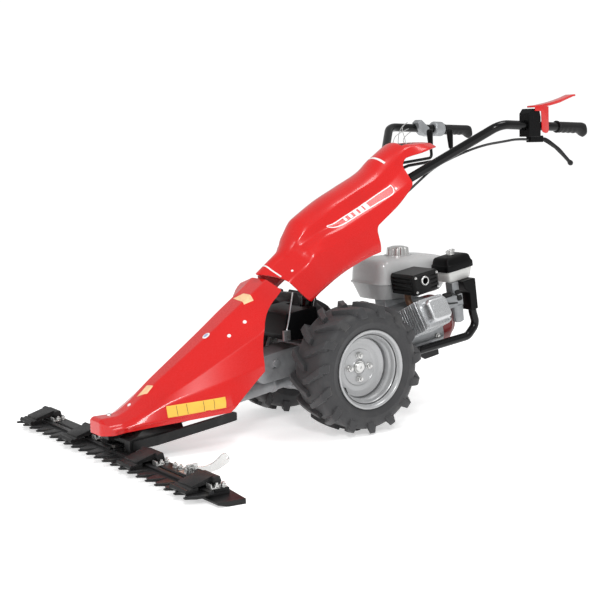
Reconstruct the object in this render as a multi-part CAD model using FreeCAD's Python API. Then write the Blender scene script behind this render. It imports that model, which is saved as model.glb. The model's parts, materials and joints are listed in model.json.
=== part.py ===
import FreeCAD, Part
import math
import os
from FreeCAD import Vector

# Walk-behind sickle bar mower: two driven wheels, a reciprocating cutter bar in front, an open engine behind.
# Millimetres. X points forward to the cutter bar, Y to the operator's left and Z up. Every size below is taken
# from the point on the ground under the wheel axle. At the end the whole machine is moved along X, so that the
# origin lies on the ground at the middle of its length.

# ---------------------------------------------------------------- driving dimensions
FIT = 0.3                      # clearance between pieces that sit in or on each other

# wheels
TYRE_RADIUS = 199.0            # over the lugs
CARCASS_RADIUS = 181.0         # between the lugs
TYRE_HALF_WIDTH = 79.0
BEAD_RADIUS = 102.0
TRACK_HALF = 200.0             # from the middle of the machine to the middle of each tyre
LUG_COUNT = 15                 # on each side of the tread
LUG_WIDTH = 21.0
LUG_SWEEP = 15.0               # degrees that a lug turns round the axle from the middle to the shoulder
RIM_FLANGE_RADIUS = 119.0
RIM_HALF_WIDTH = 74.0
RIM_WALL = 3.5
RIM_SIDES = 18
DISC_DEPTH = 60.0              # from the outer flange in to the disc
DISC_STEP_RADIUS = 82.0
STUD_CIRCLE = 36.0             # radius
STUD_COUNT = 4
STUD_RADIUS = 5.0
HUB_BORE_RADIUS = 21.0         # hole in the middle of the disc
HUB_FLANGE_RADIUS = 52.0
HUB_FLANGE_WALL = 9.0
AXLE_RADIUS = 15.0
AXLE_CAP = 8.0                 # how far the half shaft's end shows past the disc
SHAFT_SEAT = 20.0              # length of the shaft inside the gear case's tube
RUNNING_FIT = 0.05             # radial clearance of what turns

# gear case between the wheels
CASE_HALF_WIDTH = 62.0
CASE_REAR_X = -150.0
CASE_FRONT_X = 92.0
CASE_BOTTOM_Z = 122.0
CASE_TOP_Z = 300.0
FLANGE_WALL = 15.0             # the bolted flange in front of the case
CRANK_Z = 230.0                # height of the crankshaft where the engine bolts to the bell housing
BELL_RADIUS = 92.0
ENGINE_FACE_X = -232.0         # where the engine bolts to the bell housing
AXLE_TUBE_RADIUS = 34.0
AXLE_TUBE_END_Y = 112.0

# drive housing and nose tube, which slope down to the cutter bar
HOUSING_HALF_WIDTH = 48.0
HOUSING_FRONT_X = 262.0
NOSE_RADIUS = 28.0
NOSE_COLLAR_RADIUS = 32.0
NOSE_START = (107.0, 155.0)    # x and z of the nose tube's axis at the case
NOSE_END = (572.0, 84.0)       # and at the bar carrier

# cutter bar
PITCH = 50.8                   # two inches between fingers
FINGER_COUNT = 22
FINGER_TIP_X = 795.0
FINGER_WALL = 8.0
FINGER_ROOT_HALF = 14.0
FINGER_TIP_HALF = 5.0
BAR_REAR_X = 672.0
BAR_FRONT_X = 744.0            # front edge of the finger plate
BEAM_FRONT_X = 714.0
FINGER_PLATE_Z = 14.0          # underside of the finger plate, on top of the shoes
BEAM_WALL = 10.0
SECTION_WALL = 3.0
SECTION_TIP_X = 789.0
SECTION_REAR_X = 722.0
SECTION_TIP_HALF = 7.0
KNIFE_BACK_WALL = 6.0
KNIFE_BACK_FRONT_X = 738.0
KNIFE_GAP = 0.4                # running gap of the knife on the fingers and under the holders
SHOE_OUTER_Y = 613.0
SHOE_INNER_Y = 500.0
HOLDER_Y = (188.0, 485.0)      # middle of each knife holder, mirrored to the other side
HOLDER_PAD_WIDTH = 84.0
HOLDER_ARM_WIDTH = 70.0
HOLDER_HUB_WIDTH = 98.0
HOLDER_HUB_RADIUS = 12.0

# knife drive: a lever that swings under the bar carrier
LEVER_PIVOT_X = 604.0
LEVER_PIN_X = 730.0
LEVER_BOTTOM_Z = 39.0
LEVER_WALL = 8.0
LEVER_PIN_RADIUS = 8.0
KNIFE_STROKE = PITCH
CARRIER_HALF_WIDTH = 88.0

# front cover
COVER_WALL = 4.0
COVER_NOSE_X = 776.0
WHEEL_ARCH_RADIUS = 306.0      # rear edge of the cover
WHEEL_ARCH_CENTRE = (-6.5, 226.0)

# hood
HOOD_WALL = 4.0
HOOD_TIP = (216.0, 486.0)      # x and z of the middle of its front edge
HOOD_SLOPE = 32.0              # degrees

# handlebar
BAR_TUBE_RADIUS = 14.5
BAR_ROOT = (-300.0, 48.0, 728.0)
HANDLE_HALF = 277.0            # from the middle to each tube's rear stretch
HANDLE_HEIGHT = 911.0          # of the tubes where they bend to the rear
HANDLE_DROP = 19.0             # from there to their rear ends
HANDLE_END_X = -897.0
BAR_BEND = (-528.0, HANDLE_HALF, HANDLE_HEIGHT)
BAR_END = (HANDLE_END_X, HANDLE_HALF, HANDLE_HEIGHT - HANDLE_DROP)
BAR_BEND_RADIUS = 62.0
GRIP_LENGTH = 122.0
GRIP_RADIUS = 19.0
GRIP_SIDES = 8
BOX_HALF = 23.0                # half width of the control box
FINGER_GROOVES = 4
COLUMN_RADIUS = 21.0
COLUMN_BEND = 90.0
COLUMN_FOOT_Z = 302.0
CABLE_RADIUS = 4.0
CABLE_BENDS = 60.0

# engine
CYLINDER_TILT = 25.0           # degrees above the horizontal, to the left
CYLINDER_X = -335.0
SUMP_BOTTOM_Z = 164.0
GUARD_RADIUS = 14.0
GUARD_Y = 110.0
GUARD_END_X = -312.0
BRACKET_WALL = 9.0             # of the channel under the engine
BRACKET_REAR_X = -409.0
FAN_FACE_X = -450.0            # back of the engine block, where the fan housing starts
FAN_RADIUS = 88.0
SIDE_BOX_HALF = 84.0


# ---------------------------------------------------------------- shape helpers
BEND_STEP = 14.0               # degrees of a bend for each straight step along it
CORNER_STEP = 31.0             # the same for the corners of an outline
LARGE_CORNER = 30.0            # radius from which a corner takes the finer step


def point(values):
    return Vector(*values)


def box(x, y, z):
    """A block from the low and high values along each axis."""
    return Part.makeBox(x[1] - x[0], y[1] - y[0], z[1] - z[0], Vector(x[0], y[0], z[0]))


def rod(radius, start, end, sides=0):
    """A round bar between two points, or a many-sided one."""
    start, end = point(start), point(end)
    if sides:
        return faceted([(radius, 0), (radius, (end - start).Length)], start, end - start, sides)
    return Part.makeCylinder(radius, (end - start).Length, start, end - start)


def corner_arc(before, corner, after, radius, step):
    """Points of the arc that rounds a corner, spread by the step in degrees."""
    back, ahead = (before - corner).normalize(), (after - corner).normalize()
    half = 0.5 * back.getAngle(ahead)
    if radius <= 0 or half > math.radians(89.5):
        return [corner]
    middle = corner + (back + ahead).normalize() * (radius / math.sin(half))
    spoke = corner + back * (radius / math.tan(half)) - middle
    turn = math.pi - 2 * half
    count = max(1, math.ceil(math.degrees(turn) / step))
    angles = [turn * i / count for i in range(count + 1)]
    return [middle + spoke * math.cos(a) - back * (radius * math.sin(a)) for a in angles]


def rounded_outline(points, radius):
    """Closed outline with rounded corners. The radius is one number, or one for each corner."""
    points = [point(p) for p in points]
    radii = [radius] * len(points) if isinstance(radius, (int, float)) else list(radius)
    ring = []
    for i, corner in enumerate(points):
        step = CORNER_STEP if radii[i] < LARGE_CORNER else BEND_STEP
        ring += corner_arc(points[i - 1], corner, points[(i + 1) % len(points)], radii[i], step)
    return Part.Face(Part.makePolygon(ring + ring[:1]))


def side_prism(outline, y, radius=0):
    """An outline in the XZ plane, made solid from the low to the high y."""
    face = rounded_outline([(x, y[0], z) for x, z in outline], radius)
    return face.extrude(Vector(0, y[1] - y[0], 0))


def plan_prism(outline, z, radius=0):
    """An outline in the XY plane, made solid from the low to the high z."""
    face = rounded_outline([(x, y, z[0]) for x, y in outline], radius)
    return face.extrude(Vector(0, 0, z[1] - z[0]))


def front_prism(outline, x, radius=0):
    """An outline in the YZ plane, made solid from the low to the high x."""
    face = rounded_outline([(x[0], y, z) for y, z in outline], radius)
    return face.extrude(Vector(x[1] - x[0], 0, 0))


def bend_points(points, bend_radius):
    """The corners of a route, each replaced by points along the tangent arc of the bend."""
    points = [point(p) for p in points]
    stops = [points[0]]
    step = BEND_STEP if bend_radius > LARGE_CORNER else CORNER_STEP
    for before, corner, after in zip(points, points[1:], points[2:]):
        stops += corner_arc(before, corner, after, bend_radius, step)
    return stops + [points[-1]]


def bent_tube(points, bend_radius, radius, sides=12):
    """A many-sided tube, drawn solid, along straight runs joined by tangent arcs."""
    stops = bend_points(points, bend_radius)
    runs = [(b - a).normalize() for a, b in zip(stops, stops[1:])]
    across = runs[0].cross(Vector(0, 0, 1) if abs(runs[0].z) < 0.9 else Vector(1, 0, 0)).normalize()
    up = across.cross(runs[0])
    turns = [2 * math.pi * (i + 0.5) / sides for i in range(sides)]
    rings = [[stops[0] + (across * math.cos(t) + up * math.sin(t)) * radius for t in turns]]
    for run, following, stop in zip(runs, runs[1:] + runs[-1:], stops[1:]):
        normal = run + following
        rings.append([p + run * ((stop - p).dot(normal) / run.dot(normal)) for p in rings[-1]])
    return skin(rings)


def panel(corners):
    """Flat face through the corners, or two triangles where they don't lie in one plane."""
    corners = [c for i, c in enumerate(corners) if c.distanceToPoint(corners[i - 1]) > 1e-6]
    if len(corners) < 3:
        return []
    if len(corners) == 4:
        normal = (corners[1] - corners[0]).cross(corners[2] - corners[0])
        if abs(normal.dot(corners[3] - corners[0])) > 1e-4 * normal.Length:
            return panel(corners[:3]) + panel([corners[0], corners[2], corners[3]])
    return [Part.Face(Part.makePolygon(corners + corners[:1]))]


def skin(rings):
    """Solid of flat panels from each ring of points to the next, closed by the first and the last ring."""
    rings = [[point(p) for p in ring] for ring in rings]
    faces = panel(rings[0]) + panel(rings[-1])
    for near, far in zip(rings, rings[1:]):
        for i in range(len(near)):
            faces += panel([near[i - 1], near[i], far[i], far[i - 1]])
    shell = Part.makeShell(faces)
    shell.sewShape()
    solid = Part.Solid(shell)
    return solid if solid.Volume > 0 else solid.reversed()


def faceted(profile, centre, axis, sides):
    """A profile of (radius, distance along the axis) pairs as a many-sided solid, closed at both ends."""
    centre, axis = point(centre), point(axis).normalize()
    up = Vector(0, 0, 1) if abs(axis.z) < 0.9 else Vector(1, 0, 0)
    up = (up - axis * up.dot(axis)).normalize()
    across = axis.cross(up)
    turns = [2 * math.pi * i / sides for i in range(sides)]
    return skin([[centre + axis * along + (up * math.cos(t) + across * math.sin(t)) * r for t in turns]
                 for r, along in profile])


def rounded_ring(x, y, z, radius, steps=3):
    """Points round a level rectangle whose corners are arcs of a few straight steps."""
    corners = [(x[1], y[1], 0), (x[0], y[1], 90), (x[0], y[0], 180), (x[1], y[0], 270)]
    ring = []
    for corner_x, corner_y, first in corners:
        middle_x = corner_x + (radius if corner_x == x[0] else -radius)
        middle_y = corner_y + (radius if corner_y == y[0] else -radius)
        for i in range(steps + 1):
            angle = math.radians(first + 90.0 * i / steps)
            ring.append((middle_x + radius * math.cos(angle), middle_y + radius * math.sin(angle), z))
    return ring


def tapered_box(levels, steps=3):
    """A moulded box from levels of (x pair, y pair, z, corner radius)."""
    return skin([rounded_ring(x, y, z, radius, steps) for x, y, z, radius in levels])


def mirrored(shape):
    """The same piece on the other side of the machine."""
    return shape.mirror(Vector(0, 0, 0), Vector(0, 1, 0))


def both_sides(shape):
    return [shape, mirrored(shape)]


def joined(shapes):
    """One solid from pieces that touch or overlap."""
    first, rest = shapes[0], shapes[1:]
    return first.fuse(rest).removeSplitter() if rest else first


def around(shape, centre, axis, count):
    """Copies of a shape spread evenly round an axis, the first one in place."""
    copies = []
    for i in range(count):
        copy = shape.copy()
        copy.rotate(point(centre), point(axis), 360.0 * i / count)
        copies.append(copy)
    return copies


# ---------------------------------------------------------------- wheels
AXLE_Z = TYRE_RADIUS
DISC_Y = TRACK_HALF + RIM_HALF_WIDTH - DISC_DEPTH        # outer face of the disc


def wheel_point(radius, degrees, y):
    """Point at a radius from the axle, turned forwards from straight up, at a distance from the tyre's middle."""
    angle = math.radians(degrees)
    return (radius * math.sin(angle), TRACK_HALF + y, AXLE_Z + radius * math.cos(angle))


def tyre_lug(side):
    """One bar of the tread on top of the wheel: from the middle, outwards and back, and down over the shoulder."""
    half = TYRE_HALF_WIDTH
    stations = [(-4, TYRE_RADIUS, 0.0, 1.0), (0.96 * half, TYRE_RADIUS - 4, 0.86, 1.1),
                (1.02 * half, TYRE_RADIUS - 34, 1.0, 0.8)]
    rings = []
    for y, radius, share, width in stations:
        middle = -LUG_SWEEP * share
        top = math.degrees(LUG_WIDTH / 2 * width / radius)
        foot = top * 1.3
        low = min(CARCASS_RADIUS, radius) - 16
        rings.append([wheel_point(low, middle - foot, y * side), wheel_point(radius, middle - top, y * side),
                      wheel_point(radius, middle + top, y * side), wheel_point(low, middle + foot, y * side)])
    return skin(rings)


def tyre():
    """Carcass with chevron lugs, which meet at the middle, point forwards on top and are staggered in pairs."""
    half = TYRE_HALF_WIDTH
    flank = [(BEAD_RADIUS + 4, 15 - RIM_HALF_WIDTH), (RIM_FLANGE_RADIUS + 4, 5 - RIM_HALF_WIDTH),
             (BEAD_RADIUS + 42, -half), (CARCASS_RADIUS, -half * 0.78)]
    profile = flank + [(r, -y) for r, y in reversed(flank)]
    centre, axis = (0, TRACK_HALF, AXLE_Z), (0, 1, 0)
    lugs = around(tyre_lug(1), centre, axis, LUG_COUNT)
    far = tyre_lug(-1)
    far.rotate(point(centre), point(axis), 180.0 / LUG_COUNT)
    lugs += around(far, centre, axis, LUG_COUNT)
    bore = rod(BEAD_RADIUS, (0, TRACK_HALF - half, AXLE_Z), (0, TRACK_HALF + half, AXLE_Z), RIM_SIDES)
    return faceted(profile, centre, axis, 2 * LUG_COUNT).fuse(lugs).cut(bore)


def rim():
    """Pressed rim: rolled flanges, a well stepped down to the disc, and holes for the hub and the studs."""
    wall, half, disc = RIM_WALL, RIM_HALF_WIDTH, RIM_HALF_WIDTH - DISC_DEPTH
    bead, lip = BEAD_RADIUS - FIT, RIM_FLANGE_RADIUS
    centre, axis = (0, TRACK_HALF, AXLE_Z), (0, 1, 0)
    barrel = [(lip, -half), (bead, -half + 12), (bead, half - 12), (lip, half)]
    front = [(DISC_STEP_RADIUS, disc), (DISC_STEP_RADIUS + 9, disc + 24), (bead - wall, disc + 30),
             (bead - wall, half - 9), (lip - wall, half), (lip - wall, half + 1)]
    rear = [(lip - wall, -half - 1), (lip - wall, -half), (bead - wall, -half + 9), (bead - wall, disc - wall)]
    pressed = faceted(barrel, centre, axis, RIM_SIDES)
    pressed = pressed.cut([faceted(front, centre, axis, RIM_SIDES), faceted(rear, centre, axis, RIM_SIDES)])
    holes = around(rod(STUD_RADIUS + 2 * FIT, (0, DISC_Y - 20, AXLE_Z + STUD_CIRCLE),
                       (0, DISC_Y + 20, AXLE_Z + STUD_CIRCLE), 6), (0, 0, AXLE_Z), (0, 1, 0), STUD_COUNT)
    holes.append(rod(HUB_BORE_RADIUS, (0, DISC_Y - 20, AXLE_Z), (0, DISC_Y + 20, AXLE_Z), 12))
    return pressed.cut(holes)


def hub():
    """Half shaft out of the gear case, the hub's flange behind the disc, and the studs and nuts of the wheel."""
    face = DISC_Y - RIM_WALL - FIT
    body = faceted([(AXLE_RADIUS + 12, AXLE_TUBE_END_Y + 2), (AXLE_RADIUS + 12, face - HUB_FLANGE_WALL),
                    (HUB_FLANGE_RADIUS, face - HUB_FLANGE_WALL), (HUB_FLANGE_RADIUS, face)],
                   (0, 0, AXLE_Z), (0, 1, 0), 12)
    shaft = rod(AXLE_RADIUS, (0, AXLE_TUBE_END_Y - SHAFT_SEAT, AXLE_Z), (0, AXLE_TUBE_END_Y + 4, AXLE_Z))
    cap = rod(AXLE_RADIUS, (0, face - 2, AXLE_Z), (0, DISC_Y + AXLE_CAP, AXLE_Z), 12)
    stud_z = AXLE_Z + STUD_CIRCLE
    stud = rod(STUD_RADIUS, (0, face - 2, stud_z), (0, DISC_Y + 7, stud_z), 6)
    nut = faceted([(STUD_RADIUS + 4.5, DISC_Y + FIT), (STUD_RADIUS + 4.5, DISC_Y + 10)], (0, 0, stud_z), (0, 1, 0), 6)
    studs = around(stud.fuse(nut), (0, 0, AXLE_Z), (0, 1, 0), STUD_COUNT)
    return body.fuse([shaft, cap] + studs)


# ---------------------------------------------------------------- gear case and drive to the bar
DRIVE_SLOPE = math.degrees(math.atan2(NOSE_START[1] - NOSE_END[1], NOSE_END[0] - NOSE_START[0]))


def on_engine(shape):
    """Tip a shape of the engine, drawn with a level crankshaft, to the slope of the whole drive line."""
    shape.rotate(Vector(ENGINE_FACE_X, 0, CRANK_Z), Vector(0, 1, 0), DRIVE_SLOPE)
    return shape


def gear_case():
    """Cast case between the wheels, its bell housing to the engine and the tubes that carry the axle."""
    side = [(CASE_REAR_X, CASE_BOTTOM_Z + 46), (-92, CASE_BOTTOM_Z), (CASE_FRONT_X - 20, CASE_BOTTOM_Z),
            (CASE_FRONT_X, CASE_BOTTOM_Z + 12), (CASE_FRONT_X, 262), (20, CASE_TOP_Z),
            (CASE_REAR_X + 60, CASE_TOP_Z + 12), (CASE_REAR_X, CASE_TOP_Z + 24)]
    body = side_prism(side, (-CASE_HALF_WIDTH, CASE_HALF_WIDTH), [14, 14, 0, 0, 0, 12, 0, 14])
    bell = on_engine(faceted([(BELL_RADIUS - 26, CASE_REAR_X + 30), (BELL_RADIUS, ENGINE_FACE_X + 12),
                              (BELL_RADIUS + 8, ENGINE_FACE_X + 12), (BELL_RADIUS + 8, ENGINE_FACE_X)],
                             (0, 0, CRANK_Z), (1, 0, 0), 16))
    flange = box((CASE_FRONT_X, CASE_FRONT_X + FLANGE_WALL), (-CASE_HALF_WIDTH - 4, CASE_HALF_WIDTH + 4), (116, 264))
    tube = faceted([(AXLE_TUBE_RADIUS + 18, 40), (AXLE_TUBE_RADIUS, CASE_HALF_WIDTH + 24),
                    (AXLE_TUBE_RADIUS, AXLE_TUBE_END_Y)], (0, 0, AXLE_Z), (0, 1, 0), 14)
    seat = rod(AXLE_RADIUS + RUNNING_FIT, (0, AXLE_TUBE_END_Y - SHAFT_SEAT - 2, AXLE_Z), (0, AXLE_TUBE_END_Y, AXLE_Z))
    return joined([body, bell, flange] + both_sides(tube)).cut(both_sides(seat))


def nose_point(x):
    """Point of the nose tube's axis at x."""
    share = (x - NOSE_START[0]) / (NOSE_END[0] - NOSE_START[0])
    return (x, 0, NOSE_START[1] + share * (NOSE_END[1] - NOSE_START[1]))


def nose_ring(x, length, radius):
    """Round piece on the nose tube's axis, from x forwards."""
    start = point(nose_point(x))
    return faceted([(radius, 0), (radius, length)], start, point(nose_point(x + length)) - start, 12)


def drive_housing():
    """Flat-sided front housing with its round side bosses, and the nose tube with its collars."""
    start = CASE_FRONT_X + FLANGE_WALL
    outline = [(start, 170), (start, 257), (start + 52, 251), (HOUSING_FRONT_X, 232), (HOUSING_FRONT_X, 150)]
    housing = side_prism(outline, (-HOUSING_HALF_WIDTH, HOUSING_HALF_WIDTH), [0, 0, 12, 22, 30])
    nose = nose_ring(start, NOSE_END[0] - start, NOSE_RADIUS)
    collars = [nose_ring(x, 12, NOSE_COLLAR_RADIUS) for x in (start, start + 66, 330)]
    boss = faceted([(13, 0), (13, HOUSING_HALF_WIDTH + 5)], (188, 0, 212), (0, 1, 0), 12)
    trim = box((start - 60, start), (-90, 90), (100, 300))
    return joined([housing, nose, boss, mirrored(boss)] + collars).cut(trim)


def bar_carrier():
    """Black casting that clamps the nose tube to the cutter bar and bridges the swinging lever."""
    beam_top = FINGER_PLATE_Z + FINGER_WALL + BEAM_WALL
    tunnel_top = LEVER_BOTTOM_Z + LEVER_WALL + 5
    outline = [(540, 52), (540, 120), (610, 120), (690, 74), (BEAM_FRONT_X, 66), (BEAM_FRONT_X, beam_top),
               (BAR_REAR_X, beam_top), (650, 48)]
    cheeks = side_prism(outline, (-CARRIER_HALF_WIDTH, CARRIER_HALF_WIDTH), [6, 18, 30, 20, 6, 0, 0, 12])
    shoulders = front_prism([(-CARRIER_HALF_WIDTH, 0), (CARRIER_HALF_WIDTH, 0), (CARRIER_HALF_WIDTH, 74),
                             (52, 124), (-52, 124), (-CARRIER_HALF_WIDTH, 74)], (500, 800))
    tunnel = box((500, 800), (-54, 54), (0, tunnel_top))
    socket = nose_ring(500, NOSE_END[0] + FIT - 500, NOSE_RADIUS + FIT)
    shelf = box((690, 748), (-24, 24), (62, 74))
    post = rod(9, (736, 0, 74), (736, 0, cover_top(736) - COVER_WALL - FIT), 8)
    pivot = rod(LEVER_PIN_RADIUS, (LEVER_PIVOT_X, 0, LEVER_BOTTOM_Z - 4), (LEVER_PIVOT_X, 0, tunnel_top + 2))
    return joined([cheeks.common(shoulders).cut(tunnel).cut(socket), shelf, post, pivot])


def drive_lever():
    """Lever that swings on the carrier's pivot and moves the knife with the pin at its front end."""
    bottom, top = LEVER_BOTTOM_Z, LEVER_BOTTOM_Z + LEVER_WALL
    arm = plan_prism([(LEVER_PIVOT_X - 12, -15), (LEVER_PIVOT_X - 12, 15),
                      (LEVER_PIN_X, 12), (LEVER_PIN_X, -12)], (bottom, top))
    eye = rod(19, (LEVER_PIVOT_X, 0, bottom), (LEVER_PIVOT_X, 0, top), 12)
    nose = rod(12, (LEVER_PIN_X, 0, bottom), (LEVER_PIN_X, 0, top), 8)
    pin = rod(LEVER_PIN_RADIUS, (LEVER_PIN_X, 0, bottom - 5), (LEVER_PIN_X, 0, bottom + 1), 8)
    bore = rod(LEVER_PIN_RADIUS + RUNNING_FIT, (LEVER_PIVOT_X, 0, 0), (LEVER_PIVOT_X, 0, 100))
    lever = joined([arm, eye, nose, pin]).cut(bore)
    lever.rotate(Vector(LEVER_PIVOT_X, 0, 0), Vector(0, 0, 1), lever_rest_angle())
    return lever


def lever_rest_angle():
    """Degrees that the lever stands to the left while the knife is at the left end of its stroke."""
    return math.degrees(KNIFE_STROKE / 2 / (LEVER_PIN_X - LEVER_PIVOT_X))


# ---------------------------------------------------------------- cutter bar
FINGER_TOP_Z = FINGER_PLATE_Z + FINGER_WALL
BEAM_TOP_Z = FINGER_TOP_Z + BEAM_WALL
SECTION_TOP_Z = FINGER_TOP_Z + KNIFE_GAP + SECTION_WALL
BAR_HALF = FINGER_COUNT * PITCH / 2 - 10


def finger_y(i):
    """Middle of finger i, counted from the right end of the bar."""
    return (i - (FINGER_COUNT - 1) / 2) * PITCH


def finger_bar():
    """Finger plate with one blunt pointed finger at every pitch, thinned from below towards the tips."""
    outline = [(BAR_REAR_X, BAR_HALF), (BAR_REAR_X, -BAR_HALF), (BAR_FRONT_X, -BAR_HALF)]
    for i in range(FINGER_COUNT):
        y = finger_y(i)
        outline += [(BAR_FRONT_X, y - FINGER_ROOT_HALF), (FINGER_TIP_X, y - FINGER_TIP_HALF),
                    (FINGER_TIP_X, y + FINGER_TIP_HALF), (BAR_FRONT_X, y + FINGER_ROOT_HALF)]
    outline.append((BAR_FRONT_X, BAR_HALF))
    comb = plan_prism(outline, (FINGER_PLATE_Z, FINGER_TOP_Z))
    under = side_prism([(BAR_FRONT_X + 14, FINGER_PLATE_Z - 1), (FINGER_TIP_X + 1, FINGER_PLATE_Z + 4),
                        (FINGER_TIP_X + 1, FINGER_PLATE_Z - 1)], (-BAR_HALF, BAR_HALF))
    return comb.cut(under)


def cutter_beam():
    """Stiffening bar along the back of the finger plate, chamfered in front and behind."""
    outline = [(BAR_REAR_X, FINGER_TOP_Z), (BAR_REAR_X, BEAM_TOP_Z - 3), (BAR_REAR_X + 3, BEAM_TOP_Z),
               (BEAM_FRONT_X - 3, BEAM_TOP_Z), (BEAM_FRONT_X, BEAM_TOP_Z - 3), (BEAM_FRONT_X, FINGER_TOP_Z)]
    return side_prism(outline, (-BAR_HALF, BAR_HALF))


def knife():
    """Knife back with a triangular section over each finger but the last, and the head for the lever's pin."""
    bottom = FINGER_TOP_Z + KNIFE_GAP
    sections = FINGER_COUNT - 1
    half = PITCH / 2
    ends = [finger_y(1) - half + 1, finger_y(sections) + half - 1]
    outline = [(SECTION_REAR_X, ends[1]), (SECTION_REAR_X, ends[0])]
    for i in range(1, sections + 1):
        y = finger_y(i)
        outline += [(KNIFE_BACK_FRONT_X + 4, y - half + 1), (SECTION_TIP_X, y - SECTION_TIP_HALF),
                    (SECTION_TIP_X, y + SECTION_TIP_HALF), (KNIFE_BACK_FRONT_X + 4, y + half - 1)]
    blades = plan_prism(outline, (bottom, SECTION_TOP_Z))
    back = box((SECTION_REAR_X, KNIFE_BACK_FRONT_X), ends, (SECTION_TOP_Z, SECTION_TOP_Z + KNIFE_BACK_WALL))
    middle = KNIFE_STROKE / 2
    head_z = (SECTION_TOP_Z + KNIFE_BACK_WALL, LEVER_BOTTOM_Z - 1)
    slot = LEVER_PIN_RADIUS + FIT + 0.2
    cheeks = [box((SECTION_REAR_X - 2, KNIFE_BACK_FRONT_X + 3), sorted((middle + s * slot, middle + s * 22)), head_z)
              for s in (-1, 1)]
    return joined([blades, back] + cheeks)


def knife_holders():
    """Cast holders: a foot on the beam, a hinge barrel, and an arm to the ribbed pad that keeps the knife down."""
    pad_bottom = SECTION_TOP_Z + KNIFE_GAP
    hub_x, hub_z = 698.0, BEAM_TOP_Z + 15
    outline = [(676, BEAM_TOP_Z), (712, BEAM_TOP_Z), (718, BEAM_TOP_Z + 8), (752, BEAM_TOP_Z + 4),
               (764, BEAM_TOP_Z + 4), (764, BEAM_TOP_Z + 10), (742, BEAM_TOP_Z + 16), (706, hub_z + 11),
               (682, hub_z + 8)]
    arm = side_prism(outline, (-HOLDER_ARM_WIDTH / 2, HOLDER_ARM_WIDTH / 2), [0, 0, 0, 0, 0, 0, 8, 6, 4])
    hub = rod(HOLDER_HUB_RADIUS, (hub_x, -HOLDER_HUB_WIDTH / 2, hub_z), (hub_x, HOLDER_HUB_WIDTH / 2, hub_z), 8)
    pad = [(750, pad_bottom), (786, pad_bottom), (788, pad_bottom + 4)]
    for rib in range(2):
        x = 784 - rib * 15
        pad += [(x, pad_bottom + 11 + rib), (x - 5, pad_bottom + 11 + rib), (x - 7, pad_bottom + 8 + rib)]
    pad += [(750, pad_bottom + 12)]
    shoe = side_prism(pad, (-HOLDER_PAD_WIDTH / 2, HOLDER_PAD_WIDTH / 2))
    holder = joined([arm, hub, shoe])
    holders = []
    for y in HOLDER_Y:
        for side in (-1, 1):
            copy = holder.copy()
            copy.translate(Vector(0, side * y, 0))
            holders.append(copy)
    return Part.makeCompound(holders)


def end_shoe():
    """Flat skid under the left end of the bar, turned up in front, which carries the bar on the ground."""
    plan = [(650, SHOE_INNER_Y), (741, SHOE_INNER_Y), (740, SHOE_OUTER_Y - 10), (664, SHOE_OUTER_Y)]
    side = [(648, FINGER_PLATE_Z), (648, 5), (656, 0), (712, 0), (742, 8), (742, FINGER_PLATE_Z)]
    runner = side_prism(side, (SHOE_INNER_Y - 5, SHOE_OUTER_Y + 5), [0, 0, 10, 40, 0, 0])
    return runner.common(plan_prism(plan, (-1, FINGER_PLATE_Z + 1)))


SWATH_HOLE = (588.0, 61.0)
SWATH_HOLE_RADIUS = 4.0
SWATH_INSET = 148.8            # from the bar's left end to the strip
SWATH_WALL = 5.0
SWATH_Y = (BAR_HALF - SWATH_INSET, BAR_HALF - SWATH_INSET + SWATH_WALL)


def swath_lever():
    """Curved strip behind the left end of the bar, bolted to an upright angle on the beam."""
    inner, outer = SWATH_Y
    foot = box((676, 710), (inner - 48, inner - 4), (BEAM_TOP_Z, BEAM_TOP_Z + 4))
    upright = box((676, 710), (inner - 4, inner), (BEAM_TOP_Z, BEAM_TOP_Z + 30))
    strip = [(704, 37), (704, 55), (656, 50), (628, 56), (594, 80), (574, 52), (616, 34), (650, 30)]
    plate = side_prism(strip, SWATH_Y, [0, 0, 28, 28, 13, 13, 28, 20])
    hole = rod(SWATH_HOLE_RADIUS, (SWATH_HOLE[0], inner - 10, SWATH_HOLE[1]), (SWATH_HOLE[0], outer + 5, SWATH_HOLE[1]))
    return joined([foot, upright]), plate.cut(hole)


def cover_arms():
    """Flat arms from the sides of the bar carrier out to the rear corners of the front cover."""
    wall = 9.0
    y = CARRIER_HALF_WIDTH
    plan = [(706, y), (706, y + wall), (640, y + wall + 2), (404, 158), (398, 150), (402, 143), (640, y)]
    side = [(706, 38), (706, 64), (640, 69), (404, 113), (395, 102), (400, 90), (426, 84), (634, 42)]
    arm = plan_prism(plan, (0, 200), [0, 0, 28, 0, 4, 0, 28])
    arm = arm.common(side_prism(side, (0, 300), [0, 6, 28, 6, 0, 6, 0, 28]))
    return Part.makeCompound(both_sides(arm))


# ---------------------------------------------------------------- front cover
# Stations along X: the height of the top panel and its half width, the crease on the side, and the lower edge.
COVER_STATIONS = [
    # x, top z, top half, crease y, crease z, edge y, edge z
    (800, 126, 30, 56, 106, 64, 76),
    (716, 126, 21, 56, 110, 66, 85),
    (700, 130, 19, 60, 114, 72, 87),
    (580, 213, 25, 84, 172, 110, 99),
    (410, 329, 34, 114, 259, 156, 114),
    (330, 386, 37, 126, 301, 158, 118),
    (285, 417, 38, 131, 324, 158, 120),
    (210, 470, 40, 118, 443, 158, 130),
    (150, 512, 42, 112, 480, 158, 140),
]


def cover_top(x):
    """Height of the cover's top panel at x, straight between the stations."""
    for ahead, behind in zip(COVER_STATIONS, COVER_STATIONS[1:]):
        if behind[0] <= x <= ahead[0]:
            share = (x - behind[0]) / (ahead[0] - behind[0])
            return behind[1] + share * (ahead[1] - behind[1])
    return COVER_STATIONS[0][1]


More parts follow.
